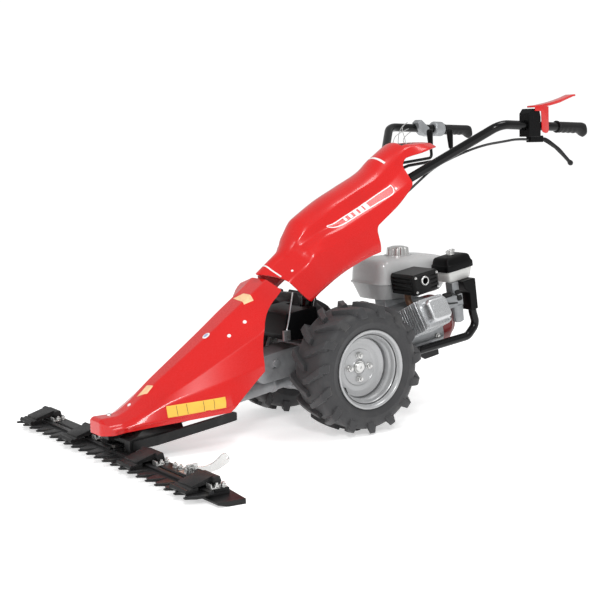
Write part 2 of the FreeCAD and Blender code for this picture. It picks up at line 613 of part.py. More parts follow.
def cover_form(inset, drop):
    """The cover's solid form, moved in by a wall and carried down below its lower edge."""
    rings = []
    for x, top, half, crease_y, crease_z, edge_y, edge_z in COVER_STATIONS:
        right = [(half - 0.3 * inset, top - inset), (crease_y - inset, crease_z - 0.4 * inset),
                 (edge_y - inset, edge_z + 14), (edge_y - inset, edge_z - drop)]
        rings.append([(x, y, z) for y, z in right + [(-y, z) for y, z in reversed(right)]])
    return skin(rings)


def cover_plan(inset):
    """The cover seen from above: a rounded nose, and sides that open towards the wheels."""
    front = COVER_NOSE_X - inset
    outline = [(front, 36 - inset), (752, 62 - inset), (100, 240), (100, -240), (752, inset - 62), (front, inset - 36)]
    return plan_prism(outline, (0, 600), [20 - inset, 50, 0, 0, 50, 20 - inset])


def front_cover():
    """Thin shell open below and behind, with a wheel arch round each tyre."""
    side = side_prism([(820, 76), (740, 82), (650, 93), (510, 105), (420, 113), (300, 217), (150, 330),
                       (208, 443), (212, 480), (240, 560), (820, 560)], (-300, 300))
    arch_x, arch_z = WHEEL_ARCH_CENTRE
    arch = rod(WHEEL_ARCH_RADIUS, (arch_x, -300, arch_z), (arch_x, 300, arch_z), 48)
    outside = cover_form(0, 60).common(cover_plan(0)).common(side).cut(arch)
    inside = cover_form(COVER_WALL, 90).common(cover_plan(COVER_WALL))
    return outside.cut(inside)


# ---------------------------------------------------------------- hood
# Stations along the hood's own slope: the middle of the top, then five lines down one side, as the half width
# and the height above the slope: the tank's ridge, the groove below it, the shoulder, the flank and the belt.
HOOD_STATIONS = [
    # s, top, ridge, groove, shoulder, flank, belt
    (-6, 0, (22, -9), (38, -20), (56, -32), (82, -58), (106, -100)),
    (60, 6, (24, -7), (42, -17), (64, -30), (90, -46), (113, -122)),
    (95, 8, (30, -5), (48, -15), (68, -28), (93, -45), (115, -121)),
    (118, 14, (34, 3), (48, -9), (70, -24), (97, -42), (116, -120)),
    (150, 33, (47, 17), (60, 3), (80, -12), (103, -34), (117, -120)),
    (205, 58, (54, 28), (69, 6), (90, -14), (106, -48), (118, -119)),
    (300, 55, (62, 27), (76, -5), (96, -36), (110, -70), (119, -128)),
    (400, 43, (62, 19), (77, -14), (99, -50), (112, -90), (120, -146)),
    (500, 33, (60, 6), (76, -24), (100, -60), (112, -104), (118, -160)),
    (560, 41, (58, 9), (76, -20), (99, -66), (110, -104), (114, -160)),
    (640, 39, (62, 18), (80, -10), (97, -44), (104, -90), (108, -150)),
    (700, 4, (60, -2), (80, -20), (94, -50), (100, -90), (104, -150)),
    (748, -26, (50, -30), (72, -44), (88, -70), (94, -110), (98, -160)),
]
CROWN_STEPS = 4
CONSOLE_DEPTH = 2.0            # top of the console below the hood's outside
BRACKET_PLACE = (-91.0, 552.0)
HOOD_BOTTOM = -230.0           # the form is carried down to here before its lower edge is cut


def hood_point(s, y, n):
    """World place of a point given along the hood's slope, across it and above it."""
    slope = math.radians(HOOD_SLOPE)
    return (HOOD_TIP[0] - math.cos(slope) * s + math.sin(slope) * n, y,
            HOOD_TIP[1] + math.sin(slope) * s + math.cos(slope) * n)


def hood_crown(half, side, top):
    """Points of the arc over the top of a section, from one ridge to the other."""
    rise = max(top - side, 0.5)
    radius = (half * half + rise * rise) / (2 * rise)
    reach = math.asin(min(half / radius, 1.0))
    turns = [reach * (1 - 2.0 * i / CROWN_STEPS) for i in range(CROWN_STEPS + 1)]
    return [(radius * math.sin(t), top - radius + radius * math.cos(t)) for t in turns]


def hood_section(station, inset):
    """Closed ring across the hood: an arc over the top, creased sides and a flat bottom."""
    s, top, *lines = station
    lines = [(y - inset, n - 0.5 * inset) for y, n in lines] + [(lines[-1][0] - inset, HOOD_BOTTOM)]
    crown = hood_crown(*lines[0], top - inset)
    ring = list(reversed(lines[1:])) + crown + [(-y, n) for y, n in lines[1:]]
    return [hood_point(s, y, n) for y, n in ring]


def hood_side(outline, radius, half=300):
    """An outline along the hood's slope, made solid across the machine."""
    world = [hood_point(s, 0, n) for s, n in outline]
    return side_prism([(x, z) for x, _, z in world], (-half, half), radius)


def hood_shell():
    """Shell like a tank on a belt, open below, cut out at the rear for the handlebar and on top for the console."""
    outline = [(-8, 130), (-6, 2), (0, -3), (30, -37), (51, -136), (150, -132), (268, -146), (347, -168),
               (358, -150), (384, -96), (476, -93), (580, -73), (598, -14), (622, -3), (684, -22), (724, -34),
               (760, -50), (760, 130)]
    radii = [0, 0, 0, 6, 10, 120, 120, 8, 20, 14, 150, 24, 24, 14, 60, 20, 0, 0]
    hollow = [(8, 120), (8, -2), (40, -40), (-60, -40), (-60, -400), (740, -400), (740, 120)]
    shell, inside = hood_form(0), hood_form(HOOD_WALL)
    shell = shell.common(hood_side(outline, radii))
    shell = shell.cut(inside.common(hood_side(hollow, 0)))
    return shell.cut(console_outline(FIT, (700, 1000)))


PANEL_SEAM_DROP = 12.0         # from the shoulder lines down to the seams between the hood's panels
SKIRT_END = 372.0              # along the slope, where the deep skirts below the flank lines end


def above_seams(drop):
    """All the space above the seams along the hood's sides, lowered by drop."""
    lines = [(station[0], station[4][1] - PANEL_SEAM_DROP - drop) for station in HOOD_STATIONS]
    lines = [(lines[0][0] - 40, lines[0][1])] + lines + [(lines[-1][0] + 60, lines[-1][1])]
    return skin([[hood_point(s, y, n) for y, n in ((-300, line), (300, line), (300, 300), (-300, 300))]
                 for s, line in lines])


def flank_height(s):
    """Height of the flank lines above the slope at s."""
    near, far = next(pair for pair in zip(HOOD_STATIONS, HOOD_STATIONS[1:]) if pair[1][0] >= s)
    return near[5][1] + (far[5][1] - near[5][1]) * (s - near[0]) / (far[0] - near[0])


def skirt_space(gap):
    """All the space below the flank lines as far back as the skirts go, drawn in by a gap."""
    stops = [station[0] for station in HOOD_STATIONS if station[0] < SKIRT_END] + [SKIRT_END - gap]
    lines = [(stops[0] - 40, flank_height(stops[0]))] + [(s, flank_height(s)) for s in stops]
    return skin([[hood_point(s, y, n) for y, n in ((-300, -400), (300, -400), (300, line - gap), (-300, line - gap))]
                 for s, line in lines])


def hood():
    """The hood's top panel, its two side panels below the shoulder lines, and the skirts below the flank lines."""
    shell = hood_shell()
    below = shell.cut(above_seams(FIT))
    panels = [joined(shell.common(above_seams(0)).Solids)]
    for share in (below.cut(skirt_space(0)), below.common(skirt_space(FIT))):
        for side in (1, -1):
            panels.append(joined([solid for solid in share.Solids if side * solid.CenterOfMass.y > 0]))
    return panels


def console_outline(gap, z):
    """The opening on top of the hood, or the plate in it, as an upright prism."""
    outline = [(-398 - gap, -34 - gap), (-398 - gap, 34 + gap), (-318 + gap, 44 + gap), (-318 + gap, -44 - gap)]
    return plan_prism(outline, z)


def hood_form(inset):
    """The hood's solid form, moved in from its outside."""
    return skin([hood_section(station, inset) for station in HOOD_STATIONS])


def console_plate():
    """Plate in the opening on top of the hood, where the control linkages come out."""
    return console_outline(0, (700, 1000)).common(hood_form(CONSOLE_DEPTH)).cut(hood_form(CONSOLE_DEPTH + 5))


def hood_bracket():
    """Cross strap on the steering column that the hood's sides are screwed to."""
    x, z = BRACKET_PLACE
    strap = box((x - 14, x + 14), (-200, 200), (z, z + 5))
    legs = box((x - 14, x + 14), (-26, 26), (z - 40, z + 5))
    seat = bent_tube(COLUMN_ROUTE, COLUMN_BEND, COLUMN_RADIUS + FIT, 12)
    return joined([strap, legs]).common(hood_form(HOOD_WALL + FIT)).cut(seat)


# ---------------------------------------------------------------- column, handlebar and controls
HANDLEBAR_ROUTE = [BAR_ROOT, BAR_BEND, BAR_END]
COLUMN_ROUTE = [(46, 0, COLUMN_FOOT_Z + 6), (34, 0, 400), (-296, 0, 722)]
YOKE_X = (-322.0, -276.0)
YOKE_Z = (706.0, 752.0)
YOKE_HALF = 52.0


def handlebar(extra=0.0):
    """Left tube of the handlebar, from the yoke to its rear end, or a larger form to cut its seats."""
    return bent_tube(HANDLEBAR_ROUTE, BAR_BEND_RADIUS, BAR_TUBE_RADIUS + extra, 12)


def on_tube(x, lift=0.0):
    """Point of the left tube's rear stretch at x, raised by lift."""
    share = (x - BAR_BEND[0]) / (BAR_END[0] - BAR_BEND[0])
    return (x, BAR_BEND[1], BAR_BEND[2] + share * (BAR_END[2] - BAR_BEND[2]) + lift)


def beside_tube(points):
    """Points in the plane of the left tube's rear stretch, given ahead of its rear end and above its axis."""
    return [(on_tube(HANDLE_END_X + ahead)[0], on_tube(HANDLE_END_X + ahead, lift)[2]) for ahead, lift in points]


def under_tube(share, inward, below):
    """Point beside the left tube's rising stretch, at a share of the way up it."""
    x, y, z = [root + share * (bend - root) for root, bend in zip(BAR_ROOT, BAR_BEND)]
    return (x, y - inward, z - below)


def column():
    """Steering column: a foot on the gear case and a bent tube up under the hood to the yoke."""
    foot = box((8, 86), (-40, 40), (COLUMN_FOOT_Z, COLUMN_FOOT_Z + 12))
    return joined([foot, bent_tube(COLUMN_ROUTE, COLUMN_BEND, COLUMN_RADIUS, 12)])


def yoke():
    """Cross block on top of the column that grips both tubes of the handlebar."""
    block = side_prism([(x, z) for x, z in ((YOKE_X[0], YOKE_Z[0]), (YOKE_X[0], YOKE_Z[1]),
                                            (YOKE_X[1], YOKE_Z[1]), (YOKE_X[1], YOKE_Z[0]))],
                       (-YOKE_HALF, YOKE_HALF), 10)
    seats = both_sides(handlebar(FIT)) + [bent_tube(COLUMN_ROUTE, COLUMN_BEND, COLUMN_RADIUS + FIT, 12)]
    return block.cut(seats)


def grip_ring(x, top, bottom):
    """Ring round the tube's rear stretch, whose lower half has a radius of its own."""
    ring = []
    for i in range(GRIP_SIDES):
        turn = 2 * math.pi * i / GRIP_SIDES
        radius = top + (bottom - top) * max(0.0, -math.cos(turn))
        ring.append(point(on_tube(x)) + Vector(0, math.sin(turn), math.cos(turn)) * radius)
    return ring


def grip():
    """Rubber grip with a collar, finger grooves below and a hooked end, on the rear end of the left tube."""
    front, rear = BAR_END[0] + GRIP_LENGTH, BAR_END[0] - 5
    rings = [grip_ring(front, GRIP_RADIUS + 3, GRIP_RADIUS + 3), grip_ring(front - 5, GRIP_RADIUS + 3, GRIP_RADIUS + 3),
             grip_ring(front - 8, GRIP_RADIUS - 1, GRIP_RADIUS - 1)]
    pitch = (GRIP_LENGTH - 34) / FINGER_GROOVES
    for i in range(FINGER_GROOVES):
        x = front - 10 - i * pitch
        rings += [grip_ring(x - 0.1 * pitch, GRIP_RADIUS, GRIP_RADIUS + 3),
                  grip_ring(x - 0.5 * pitch, GRIP_RADIUS, GRIP_RADIUS - 1)]
    rings += [grip_ring(rear + 24, GRIP_RADIUS, GRIP_RADIUS + 2), grip_ring(rear + 10, GRIP_RADIUS + 1, GRIP_RADIUS + 14),
              grip_ring(rear, GRIP_RADIUS - 2, GRIP_RADIUS + 12)]
    return skin(rings).cut(handlebar(FIT))


def control_box():
    """Switch and lever housing clamped on the left tube in front of the grip."""
    y = HANDLE_HALF
    outline = beside_tube([(265, -36), (265, 38), (253, 53), (221, 53), (215, 27), (215, -34)])
    body = side_prism(outline, (y - BOX_HALF, y + BOX_HALF))
    bracket = side_prism(beside_tube([(247, -53), (247, -32), (191, -30), (191, -51)]), (y - 11, y + 11))
    return joined([body, bracket]).cut(handlebar(FIT))


def stop_lever():
    """Red lever: an upright strip beside the housing and a long blade that rises to the rear."""
    y = HANDLE_HALF
    strip = beside_tube([(242, 43.5), (242, 62.5), (185, 62.5), (183, -17.4), (195, -22), (199, 45.8)])
    blade = beside_tube([(245, 56.4), (245, 62.4), (191, 71.2), (155, 79), (107, 92.5), (71, 105.3), (61, 105.9),
                         (61, 99.9), (107, 85.5), (155, 70), (191, 62.2)])
    strip = side_prism(strip, (y + BOX_HALF + FIT, y + BOX_HALF + 4))
    blade = side_prism(blade, (y - 9, y + BOX_HALF + 4))
    return joined([strip, blade])


def clutch_lever():
    """Curved lever under the left grip, with a ball at its end."""
    route = beside_tube([(191 - FIT, -40.8), (169, -39.7), (107, -73.5), (59, -113)])
    route = [(x, HANDLE_HALF, z) for x, z in route]
    lever = bent_tube(route, 28, 6, 8)
    ball = faceted([(4, -6), (8, -2), (10, 4), (8, 10), (4, 14)], route[-1], (-1, 0, -0.8), 10)
    return joined([lever, ball])


def throttle_clamp():
    """Grey clamp housing in front of the right grip."""
    start, end = [point(on_tube(HANDLE_END_X + GRIP_LENGTH + ahead)) for ahead in (51, 1)]
    return mirrored(faceted([(22, 0), (26, 5), (26, 41), (22, 46)], start, end - start, 16).cut(handlebar(FIT)))


def throttle_bracket():
    """Bracket of the control lever on the right tube."""
    y = HANDLE_HALF
    bracket = side_prism(beside_tube([(261, 18.6), (247, 29.3), (211, 3.1), (207, -28.7), (233, -24), (257, -3.2)]),
                         (y - 30, y + 6))
    return mirrored(bracket.cut(handlebar(FIT)))


GEAR_LEVER_Y = 50.0
KNOB_FOOT = (-522.0, GEAR_LEVER_Y, 838.0)


def gear_lever():
    """Bent rod of one gear lever, out from under the hood and up to its knob."""
    y = GEAR_LEVER_Y
    seat = (-300, y - 6, YOKE_Z[1] + FIT)
    return bent_tube([seat, (-300, y - 6, 774), (-340, y, 788), (-525, y, 806), KNOB_FOOT], 12, 5, 6)


def gear_knob():
    """Tapered knob, widest near its top."""
    along = point(KNOB_FOOT) - Vector(-525, GEAR_LEVER_Y, 806)
    return faceted([(8, FIT), (9, 10), (12, 48), (11, 60), (6, 64)], KNOB_FOOT, along, 8)


def clutch_cable():
    """Sheathed cable from under the hood to the adjuster on the left housing, held at both ends."""
    rear = [(297, -43.7), (247 + FIT, -43.7)]
    start = [(BAR_ROOT[0], BAR_ROOT[1] + 26, BAR_ROOT[2] - 32), under_tube(0.22, 6, 28), under_tube(0.44, 43, 28)]
    rise = [under_tube(0.65, 35, 29), under_tube(0.88, 24, 41)]
    bend = (BAR_BEND[0] - 28, HANDLE_HALF - 8, HANDLE_HEIGHT - 53)
    return bent_tube(start + rise + [bend] + [(x, HANDLE_HALF, z) for x, z in beside_tube(rear)],
                     CABLE_BENDS, CABLE_RADIUS, 6)


# ---------------------------------------------------------------- engine
# Drawn with a level crankshaft and tipped to the slope of the drive line; the fuel tank stays level.
TANK_X = (-560.0, -250.0)
TANK_Y = (-186.0, 12.0)
TANK_Z = (350.0, 486.0)
TANK_SEAM_Z = 404.0
CAP_CENTRE = (-412.0, -100.0)
CAP_RADIUS = 42.0
CAP_RECESS = 7.0


def on_cylinder(shape):
    """Move a shape drawn on an upright cylinder above the origin to the tilted cylinder of the engine."""
    shape.rotate(Vector(0, 0, 0), Vector(1, 0, 0), CYLINDER_TILT - 90)
    shape.translate(Vector(CYLINDER_X, 0, CRANK_Z))
    return shape


def block():
    """Engine block as one heavy casting: sump, shoulders and the boss that bolts to the bell housing."""
    bottom = SUMP_BOTTOM_Z
    outline = [(-84, bottom), (70, bottom), (86, bottom + 30), (86, 246), (74, 292), (40, 316), (-66, 316), (-90, 270)]
    body = front_prism(outline, (FAN_FACE_X + FIT, ENGINE_FACE_X - 20), [14, 10, 14, 20, 20, 20, 20, 20])
    boss = rod(74, (ENGINE_FACE_X - 24, 0, CRANK_Z), (ENGINE_FACE_X, 0, CRANK_Z), 20)
    return joined([body, boss])


def crankcase():
    """The engine block with the stay that carries the fuel tank."""
    stay = box((-430, -300), (-66, -12), (290, TANK_Z[0]))
    return on_engine(joined([block(), stay])).cut(box(TANK_X, TANK_Y, (TANK_Z[0] - FIT, TANK_Z[1])))


def barrel():
    """Finned barrel and head, with the fins across the cylinder's axis."""
    core = on_cylinder(box((-38, 38), (-36, 36), (84, 204)))
    fins = []
    for i in range(9):
        fins.append(on_cylinder(box((-52, 52), (-48, 48), (96 + i * 12, 100 + i * 12))))
    head = on_cylinder(box((-50, 50), (-46, 46), (196, 205)))
    return joined([core, head] + fins)


def cylinder():
    return on_engine(barrel().cut(block()))


def valve_cover():
    """Pressed cover: a flange and a domed middle with a narrower top edge."""
    flange = box((-50, 50), (-48, 48), (205, 210))
    outline = [(-40, -36), (40, -36), (40, 26), (26, 38), (-26, 38), (-40, 26)]
    levels = [(1.0, 210), (0.97, 232), (0.86, 243), (0.62, 247)]
    dome = skin([[(x * scale, y * scale, z) for x, y in outline] for scale, z in levels])
    return on_engine(on_cylinder(joined([flange, dome])))


MUFFLER_X = (-418.0, -310.0)
MUFFLER_Y = (16.0, 137.0)
MUFFLER_Z = (368.0, 433.0)
LOUVRE_ROWS = 4
LOUVRE_PITCH = 13.0


def muffler():
    """Heat shield box with rows of louvres on its front and left sides, and a flared outlet on the left."""
    shell = box(MUFFLER_X, MUFFLER_Y, MUFFLER_Z)
    shell = shell.makeChamfer(7, [e for e in shell.Edges if e.Length < 80 or e.Vertexes[0].Z > MUFFLER_Z[0] + 1])
    front, left = MUFFLER_X[1], MUFFLER_Y[1]
    cuts = []
    for row in range(LOUVRE_ROWS):
        z = MUFFLER_Z[0] + 10 + row * LOUVRE_PITCH
        cuts.append(box((front - 4, front + 4), (MUFFLER_Y[0] + 14, left - 14), (z, z + 5)))
        cuts.append(box((MUFFLER_X[0] + 12, MUFFLER_X[0] + 38), (left - 4, left + 4), (z, z + 5)))
    x, z = (front - 45, MUFFLER_Z[0] + 40)
    outlet = rod(15, (x, left - 1, z), (x, left + 5, z), 16)
    mouth = rod(9, (x, left - 20, z), (x, left + 20, z), 12)
    return on_engine(joined([shell.cut(cuts), outlet]).cut(mouth))


def exhaust_pipe():
    """Short bent pipe from the top of the cylinder's front end up into the muffler."""
    tilt = math.radians(CYLINDER_TILT)
    outward = Vector(0, -math.sin(tilt), math.cos(tilt))
    along = Vector(0, math.cos(tilt), math.sin(tilt))
    port = Vector(MUFFLER_X[1] - 16, 0, CRANK_Z) + along * 120 + outward * (48 + FIT)
    bend = port + outward * 24
    return on_engine(bent_tube([port, bend, (bend.x, bend.y, MUFFLER_Z[0] - FIT)], 15, 11, 10))


def tank_level(inset, z):
    """One level of the tank, drawn in from its largest outline."""
    return ((TANK_X[0] + inset, TANK_X[1] - inset), (TANK_Y[0] + inset, TANK_Y[1] - inset), z, 46 - 0.6 * inset)


def fuel_tank():
    """Two pressed halves with a crimped seam between them, both drawn in towards top and bottom."""
    seam, (low, high) = TANK_SEAM_Z, TANK_Z
    x, y = CAP_CENTRE
    seat = rod(CAP_RADIUS + 4, (x, y, high - CAP_RECESS), (x, y, high + 1), 20)
    recess = rod(FAN_RADIUS + 5, (TANK_X[0] - 50, 0, CRANK_Z), (FAN_FACE_X + 5, 0, CRANK_Z), 24)
    return tapered_box([tank_level(26, low), tank_level(4, seam - 2), tank_level(0, seam - 2),
                        tank_level(0, seam + 2), tank_level(4, seam + 2), tank_level(6, seam + 44),
                        tank_level(12, high - 12), tank_level(34, high)], 3).cut([on_engine(recess), seat])


def fuel_cap():
    """Screw cap in the recess on top of the tank."""
    x, y = CAP_CENTRE
    z = TANK_Z[1] - CAP_RECESS
    radius = CAP_RADIUS
    return faceted([(radius - 3, z), (radius, z + 5), (radius, z + 32), (radius - 6, z + 39)], (x, y, 0), (0, 0, 1), 16)


AIR_X = (-600.0, -484.0)
AIR_Y = (16.0, 106.0)
AIR_SEAM_Z = 397.0             # between the lid and its base


def air_level(inset, z, radius):
    return ((AIR_X[0] + inset, AIR_X[1] - inset), (AIR_Y[0] + inset, AIR_Y[1] - inset), AIR_SEAM_Z + z, radius)


def air_cleaner():
    """Box lid in two steps with rounded corners."""
    return on_engine(tapered_box([air_level(0, 0, 10), air_level(0, 20, 10), air_level(4, 23, 9),
                                  air_level(6, 40, 9), air_level(14, 48, 7)], 2))


BASE_DEPTH = 36.0


def air_base():
    """Pale lower half of the air cleaner, drawn in towards the bottom."""
    return on_engine(tapered_box([air_level(12, -BASE_DEPTH, 8), air_level(4, 0, 10)], 2))


BASE_Z = AIR_SEAM_Z - BASE_DEPTH
DUCT_BOTTOM_Z = 257.0
GUARD_TOP_X = -563.0


def intake_duct():
    """Black duct from the air cleaner's base down to the foot that the guard tube meets."""
    top = BASE_Z - FIT
    outline = [(-524, top), (-581, top), (GUARD_TOP_X - 15, DUCT_BOTTOM_Z), (GUARD_TOP_X + 15, DUCT_BOTTOM_Z),
               (GUARD_TOP_X + 12, DUCT_BOTTOM_Z + 60), (-532, top - 26)]
    return on_engine(side_prism(outline, (60, GUARD_Y + GUARD_RADIUS)))


def carburettor():
    """Body and float bowl behind the cylinder, under the air cleaner."""
    body = box((-512, -386), (90, 128), (288, 326))
    bowl = faceted([(12, 232), (18, 236), (21, 290)], (-496, FAN_RADIUS + 24, 0), (0, 0, 1), 14)
    neck = box((-522, -494), (72, 104), (300, BASE_Z - FIT))
    return on_engine(joined([body, bowl, neck]).cut(barrel()).cut(block()))


def recoil_starter():
    """Fan housing on the back of the engine, with the domed starter cover and its slots."""
    x, radius = FAN_FACE_X, FAN_RADIUS
    body = faceted([(radius, x), (radius, x - 40), (radius - 8, x - 50), (radius - 16, x - 54),
                    (radius - 22, x - 72), (28, x - 80)], (0, 0, CRANK_Z), (1, 0, 0), 18)
    slot = box((x - 88, x - 64), (-5, 5), (CRANK_Z + 32, CRANK_Z + 56))
    return on_engine(body.cut(around(slot, (0, 0, CRANK_Z), (1, 0, 0), 6)))


def guard_tube():
    """Round tube that protects the engine's left side and back, from the base up to the intake duct."""
    y = GUARD_Y
    route = [(GUARD_END_X, y, 182), (GUARD_END_X - 12, y, 182), (-528, y, 173), (GUARD_TOP_X - 8, y, 204),
             (GUARD_TOP_X, y, 246), (GUARD_TOP_X, y, DUCT_BOTTOM_Z - FIT)]
    return on_engine(bent_tube(route, 30, GUARD_RADIUS, 10))


def engine_bracket():
    """Channel under the engine that carries it and the guard tube's front end."""
    top, bottom = SUMP_BOTTOM_Z - FIT, SUMP_BOTTOM_Z - BRACKET_WALL
    rail = box((BRACKET_REAR_X, ENGINE_FACE_X - 26), (-74, 96), (bottom, top))
    outline = [(BRACKET_REAR_X, bottom - 14), (BRACKET_REAR_X + 60, bottom - 14), (BRACKET_REAR_X + 90, top),
               (BRACKET_REAR_X, top)]
    sides = [side_prism(outline, (y, y + 6)) for y in (-74, 90)]
    ear = box((GUARD_END_X + FIT, GUARD_END_X + 10), (86, GUARD_Y + 12), (bottom, 196))
    return on_engine(joined([rail, ear] + sides))


def side_box():
    """Black box on top of the gear case's front, beside the column's foot."""
    outline = [(96, 282), (168, 282), (180, 300), (176, 364), (60, 378), (52, 318), (92, 312)]
    body = side_prism(outline, (-SIDE_BOX_HALF, SIDE_BOX_HALF), [0, 6, 6, 6, 6, 6, 6])
    return body.cut(box((0, 86 + FIT), (-44, 44), (270, 420)))


def shift_rod():
    """Thin rod down to the clevis on the drive housing."""
    y = SIDE_BOX_HALF + FIT + 4
    wire = bent_tube([(150, y, 430), (166, y, 350), (176, y, 314)], 20, 3, 8)
    clevis = box((164, 188), (y - 4, y + 4), (286, 316))
    return joined([wire, clevis])


# ---------------------------------------------------------------- assembly
def build():
    parts = {
        "gear_case": gear_case(),
        "drive_housing": drive_housing(),
        "bar_carrier": bar_carrier(),
        "drive_lever": drive_lever(),
        "finger_bar": finger_bar(),
        "cutter_beam": cutter_beam(),
        "knife": knife(),
        "knife_holders": knife_holders(),
        "end_shoes": Part.makeCompound(both_sides(end_shoe())),
        "cover_arms": cover_arms(),
        "front_cover": front_cover(),
        "console": console_plate(),
        "hood_bracket": hood_bracket(),
        "column": column(),
        "yoke": yoke(),
        "control_box": control_box(),
        "throttle_clamp": throttle_clamp(),
        "throttle_bracket": throttle_bracket(),
        "stop_lever": stop_lever(),
        "clutch_lever": clutch_lever(),
        "gear_levers": Part.makeCompound(both_sides(gear_lever())),
        "gear_knobs": Part.makeCompound(both_sides(gear_knob())),
        "clutch_cable": clutch_cable(),
        "crankcase": crankcase(),
        "cylinder": cylinder(),
        "valve_cover": valve_cover(),
        "muffler": muffler(),
        "exhaust_pipe": exhaust_pipe(),
        "fuel_tank": fuel_tank(),
        "fuel_cap": fuel_cap(),
        "air_cleaner": air_cleaner(),
        "air_base": air_base(),
        "intake_duct": intake_duct(),
        "carburettor": carburettor(),
        "recoil_starter": recoil_starter(),
        "guard_tube": guard_tube(),
        "engine_bracket": engine_bracket(),
        "side_box": side_box(),
        "shift_rod": shift_rod(),
    }
    panels = ("hood", "left_hood_side", "right_hood_side", "left_hood_skirt", "right_hood_skirt")
    parts.update(zip(panels, hood()))
    parts["swath_bracket"], parts["swath_lever"] = swath_lever()
    for name, piece in (("tyre", tyre()), ("rim", rim()), ("hub", hub()),
                        ("handlebar", handlebar()), ("grip", grip())):
        parts["left_" + name] = piece
        parts["right_" + name] = mirrored(piece)
    return parts


def main():
    parts = build()
    middle = (FINGER_TIP_X + parts["left_grip"].BoundBox.XMin) / 2
    os.makedirs("parts", exist_ok=True)
    for name, shape in parts.items():
        shape.translate(Vector(-middle, 0, 0))
        shape.exportStep("parts/" + name + ".step")


main()
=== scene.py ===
import json
import math
import bmesh
import bpy
from mathutils import Matrix, Vector
from mathutils.bvhtree import BVHTree


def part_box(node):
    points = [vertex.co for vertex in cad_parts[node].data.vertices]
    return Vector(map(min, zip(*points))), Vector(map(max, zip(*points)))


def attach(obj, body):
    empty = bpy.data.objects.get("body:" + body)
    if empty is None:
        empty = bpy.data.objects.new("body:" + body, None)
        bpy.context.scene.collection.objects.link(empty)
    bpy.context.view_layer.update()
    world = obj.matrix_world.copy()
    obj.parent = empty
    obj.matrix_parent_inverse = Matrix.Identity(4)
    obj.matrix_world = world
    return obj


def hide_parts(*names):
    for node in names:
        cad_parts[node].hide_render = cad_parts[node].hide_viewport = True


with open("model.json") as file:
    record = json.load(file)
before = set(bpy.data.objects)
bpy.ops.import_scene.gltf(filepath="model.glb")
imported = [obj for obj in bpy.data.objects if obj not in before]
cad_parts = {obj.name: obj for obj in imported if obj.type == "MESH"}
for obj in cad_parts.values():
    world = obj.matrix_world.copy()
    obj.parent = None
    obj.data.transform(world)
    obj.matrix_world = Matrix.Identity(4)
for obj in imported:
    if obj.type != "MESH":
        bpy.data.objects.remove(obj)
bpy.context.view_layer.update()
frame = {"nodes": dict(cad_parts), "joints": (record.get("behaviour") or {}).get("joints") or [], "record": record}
BODY_OF = {node: body for body, nodes in frame["record"]["behaviour"]["bodies"].items() for node in nodes}
SIDES = (("left", 1), ("right", -1))
UP = (0, 0, 1)

# The wheel axle, from which the machine's own sizes are counted.
WHEEL_JOINT = next(joint for joint in frame["joints"] if joint["name"] == "left_wheel_turn")
AXLE_X, AXLE_Z = WHEEL_JOINT["pos_m"][0], WHEEL_JOINT["pos_m"][2]


def at(x, y, z):
    """Place given in millimetres ahead of the axle, to the left and above the ground."""
    return Vector((AXLE_X + x / 1000, y / 1000, z / 1000))


# ---------------------------------------------------------------- finishes
COAT_ROUGHNESS = 0.06
DUST_SCALE = 30.0


def add_node(tree, kind, **values):
    """A new shader node with its inputs set by their names."""
    node = tree.nodes.new("ShaderNode" + kind)
    for name, value in values.items():
        node.inputs[name.replace("_", " ").title()].default_value = value
    return node


def noise(tree, scale, detail, stretch=None):
    """Noise over the object's own coordinates, stretched along its axes if asked."""
    texture = add_node(tree, "TexNoise", scale=scale, detail=detail)
    source = add_node(tree, "TexCoord").outputs["Object"]
    if stretch:
        mapping = add_node(tree, "Mapping", scale=stretch)
        tree.links.new(source, mapping.inputs["Vector"])
        source = mapping.outputs["Vector"]
    tree.links.new(source, texture.inputs["Vector"])
    return texture.outputs["Fac"]


def ramp(tree, value, low, high, start=0.3, end=0.7):
    """A value between start and end spread from low to high."""
    node = add_node(tree, "MapRange", from_min=start, from_max=end, to_min=low, to_max=high)
    tree.links.new(value, node.inputs["Value"])
    return node.outputs["Result"]


def blend_colours(tree, factor, first, second):
    """Mix of two colours, each of them fixed or worked out by other nodes."""
    mix = tree.nodes.new("ShaderNodeMix")
    mix.data_type = "RGBA"
    tree.links.new(factor, mix.inputs["Factor"])
    for socket, colour in ((mix.inputs[6], first), (mix.inputs[7], second)):
        if isinstance(colour, tuple):
            socket.default_value = (*colour, 1)
        else:
            tree.links.new(colour, socket)
    return mix.outputs[2]


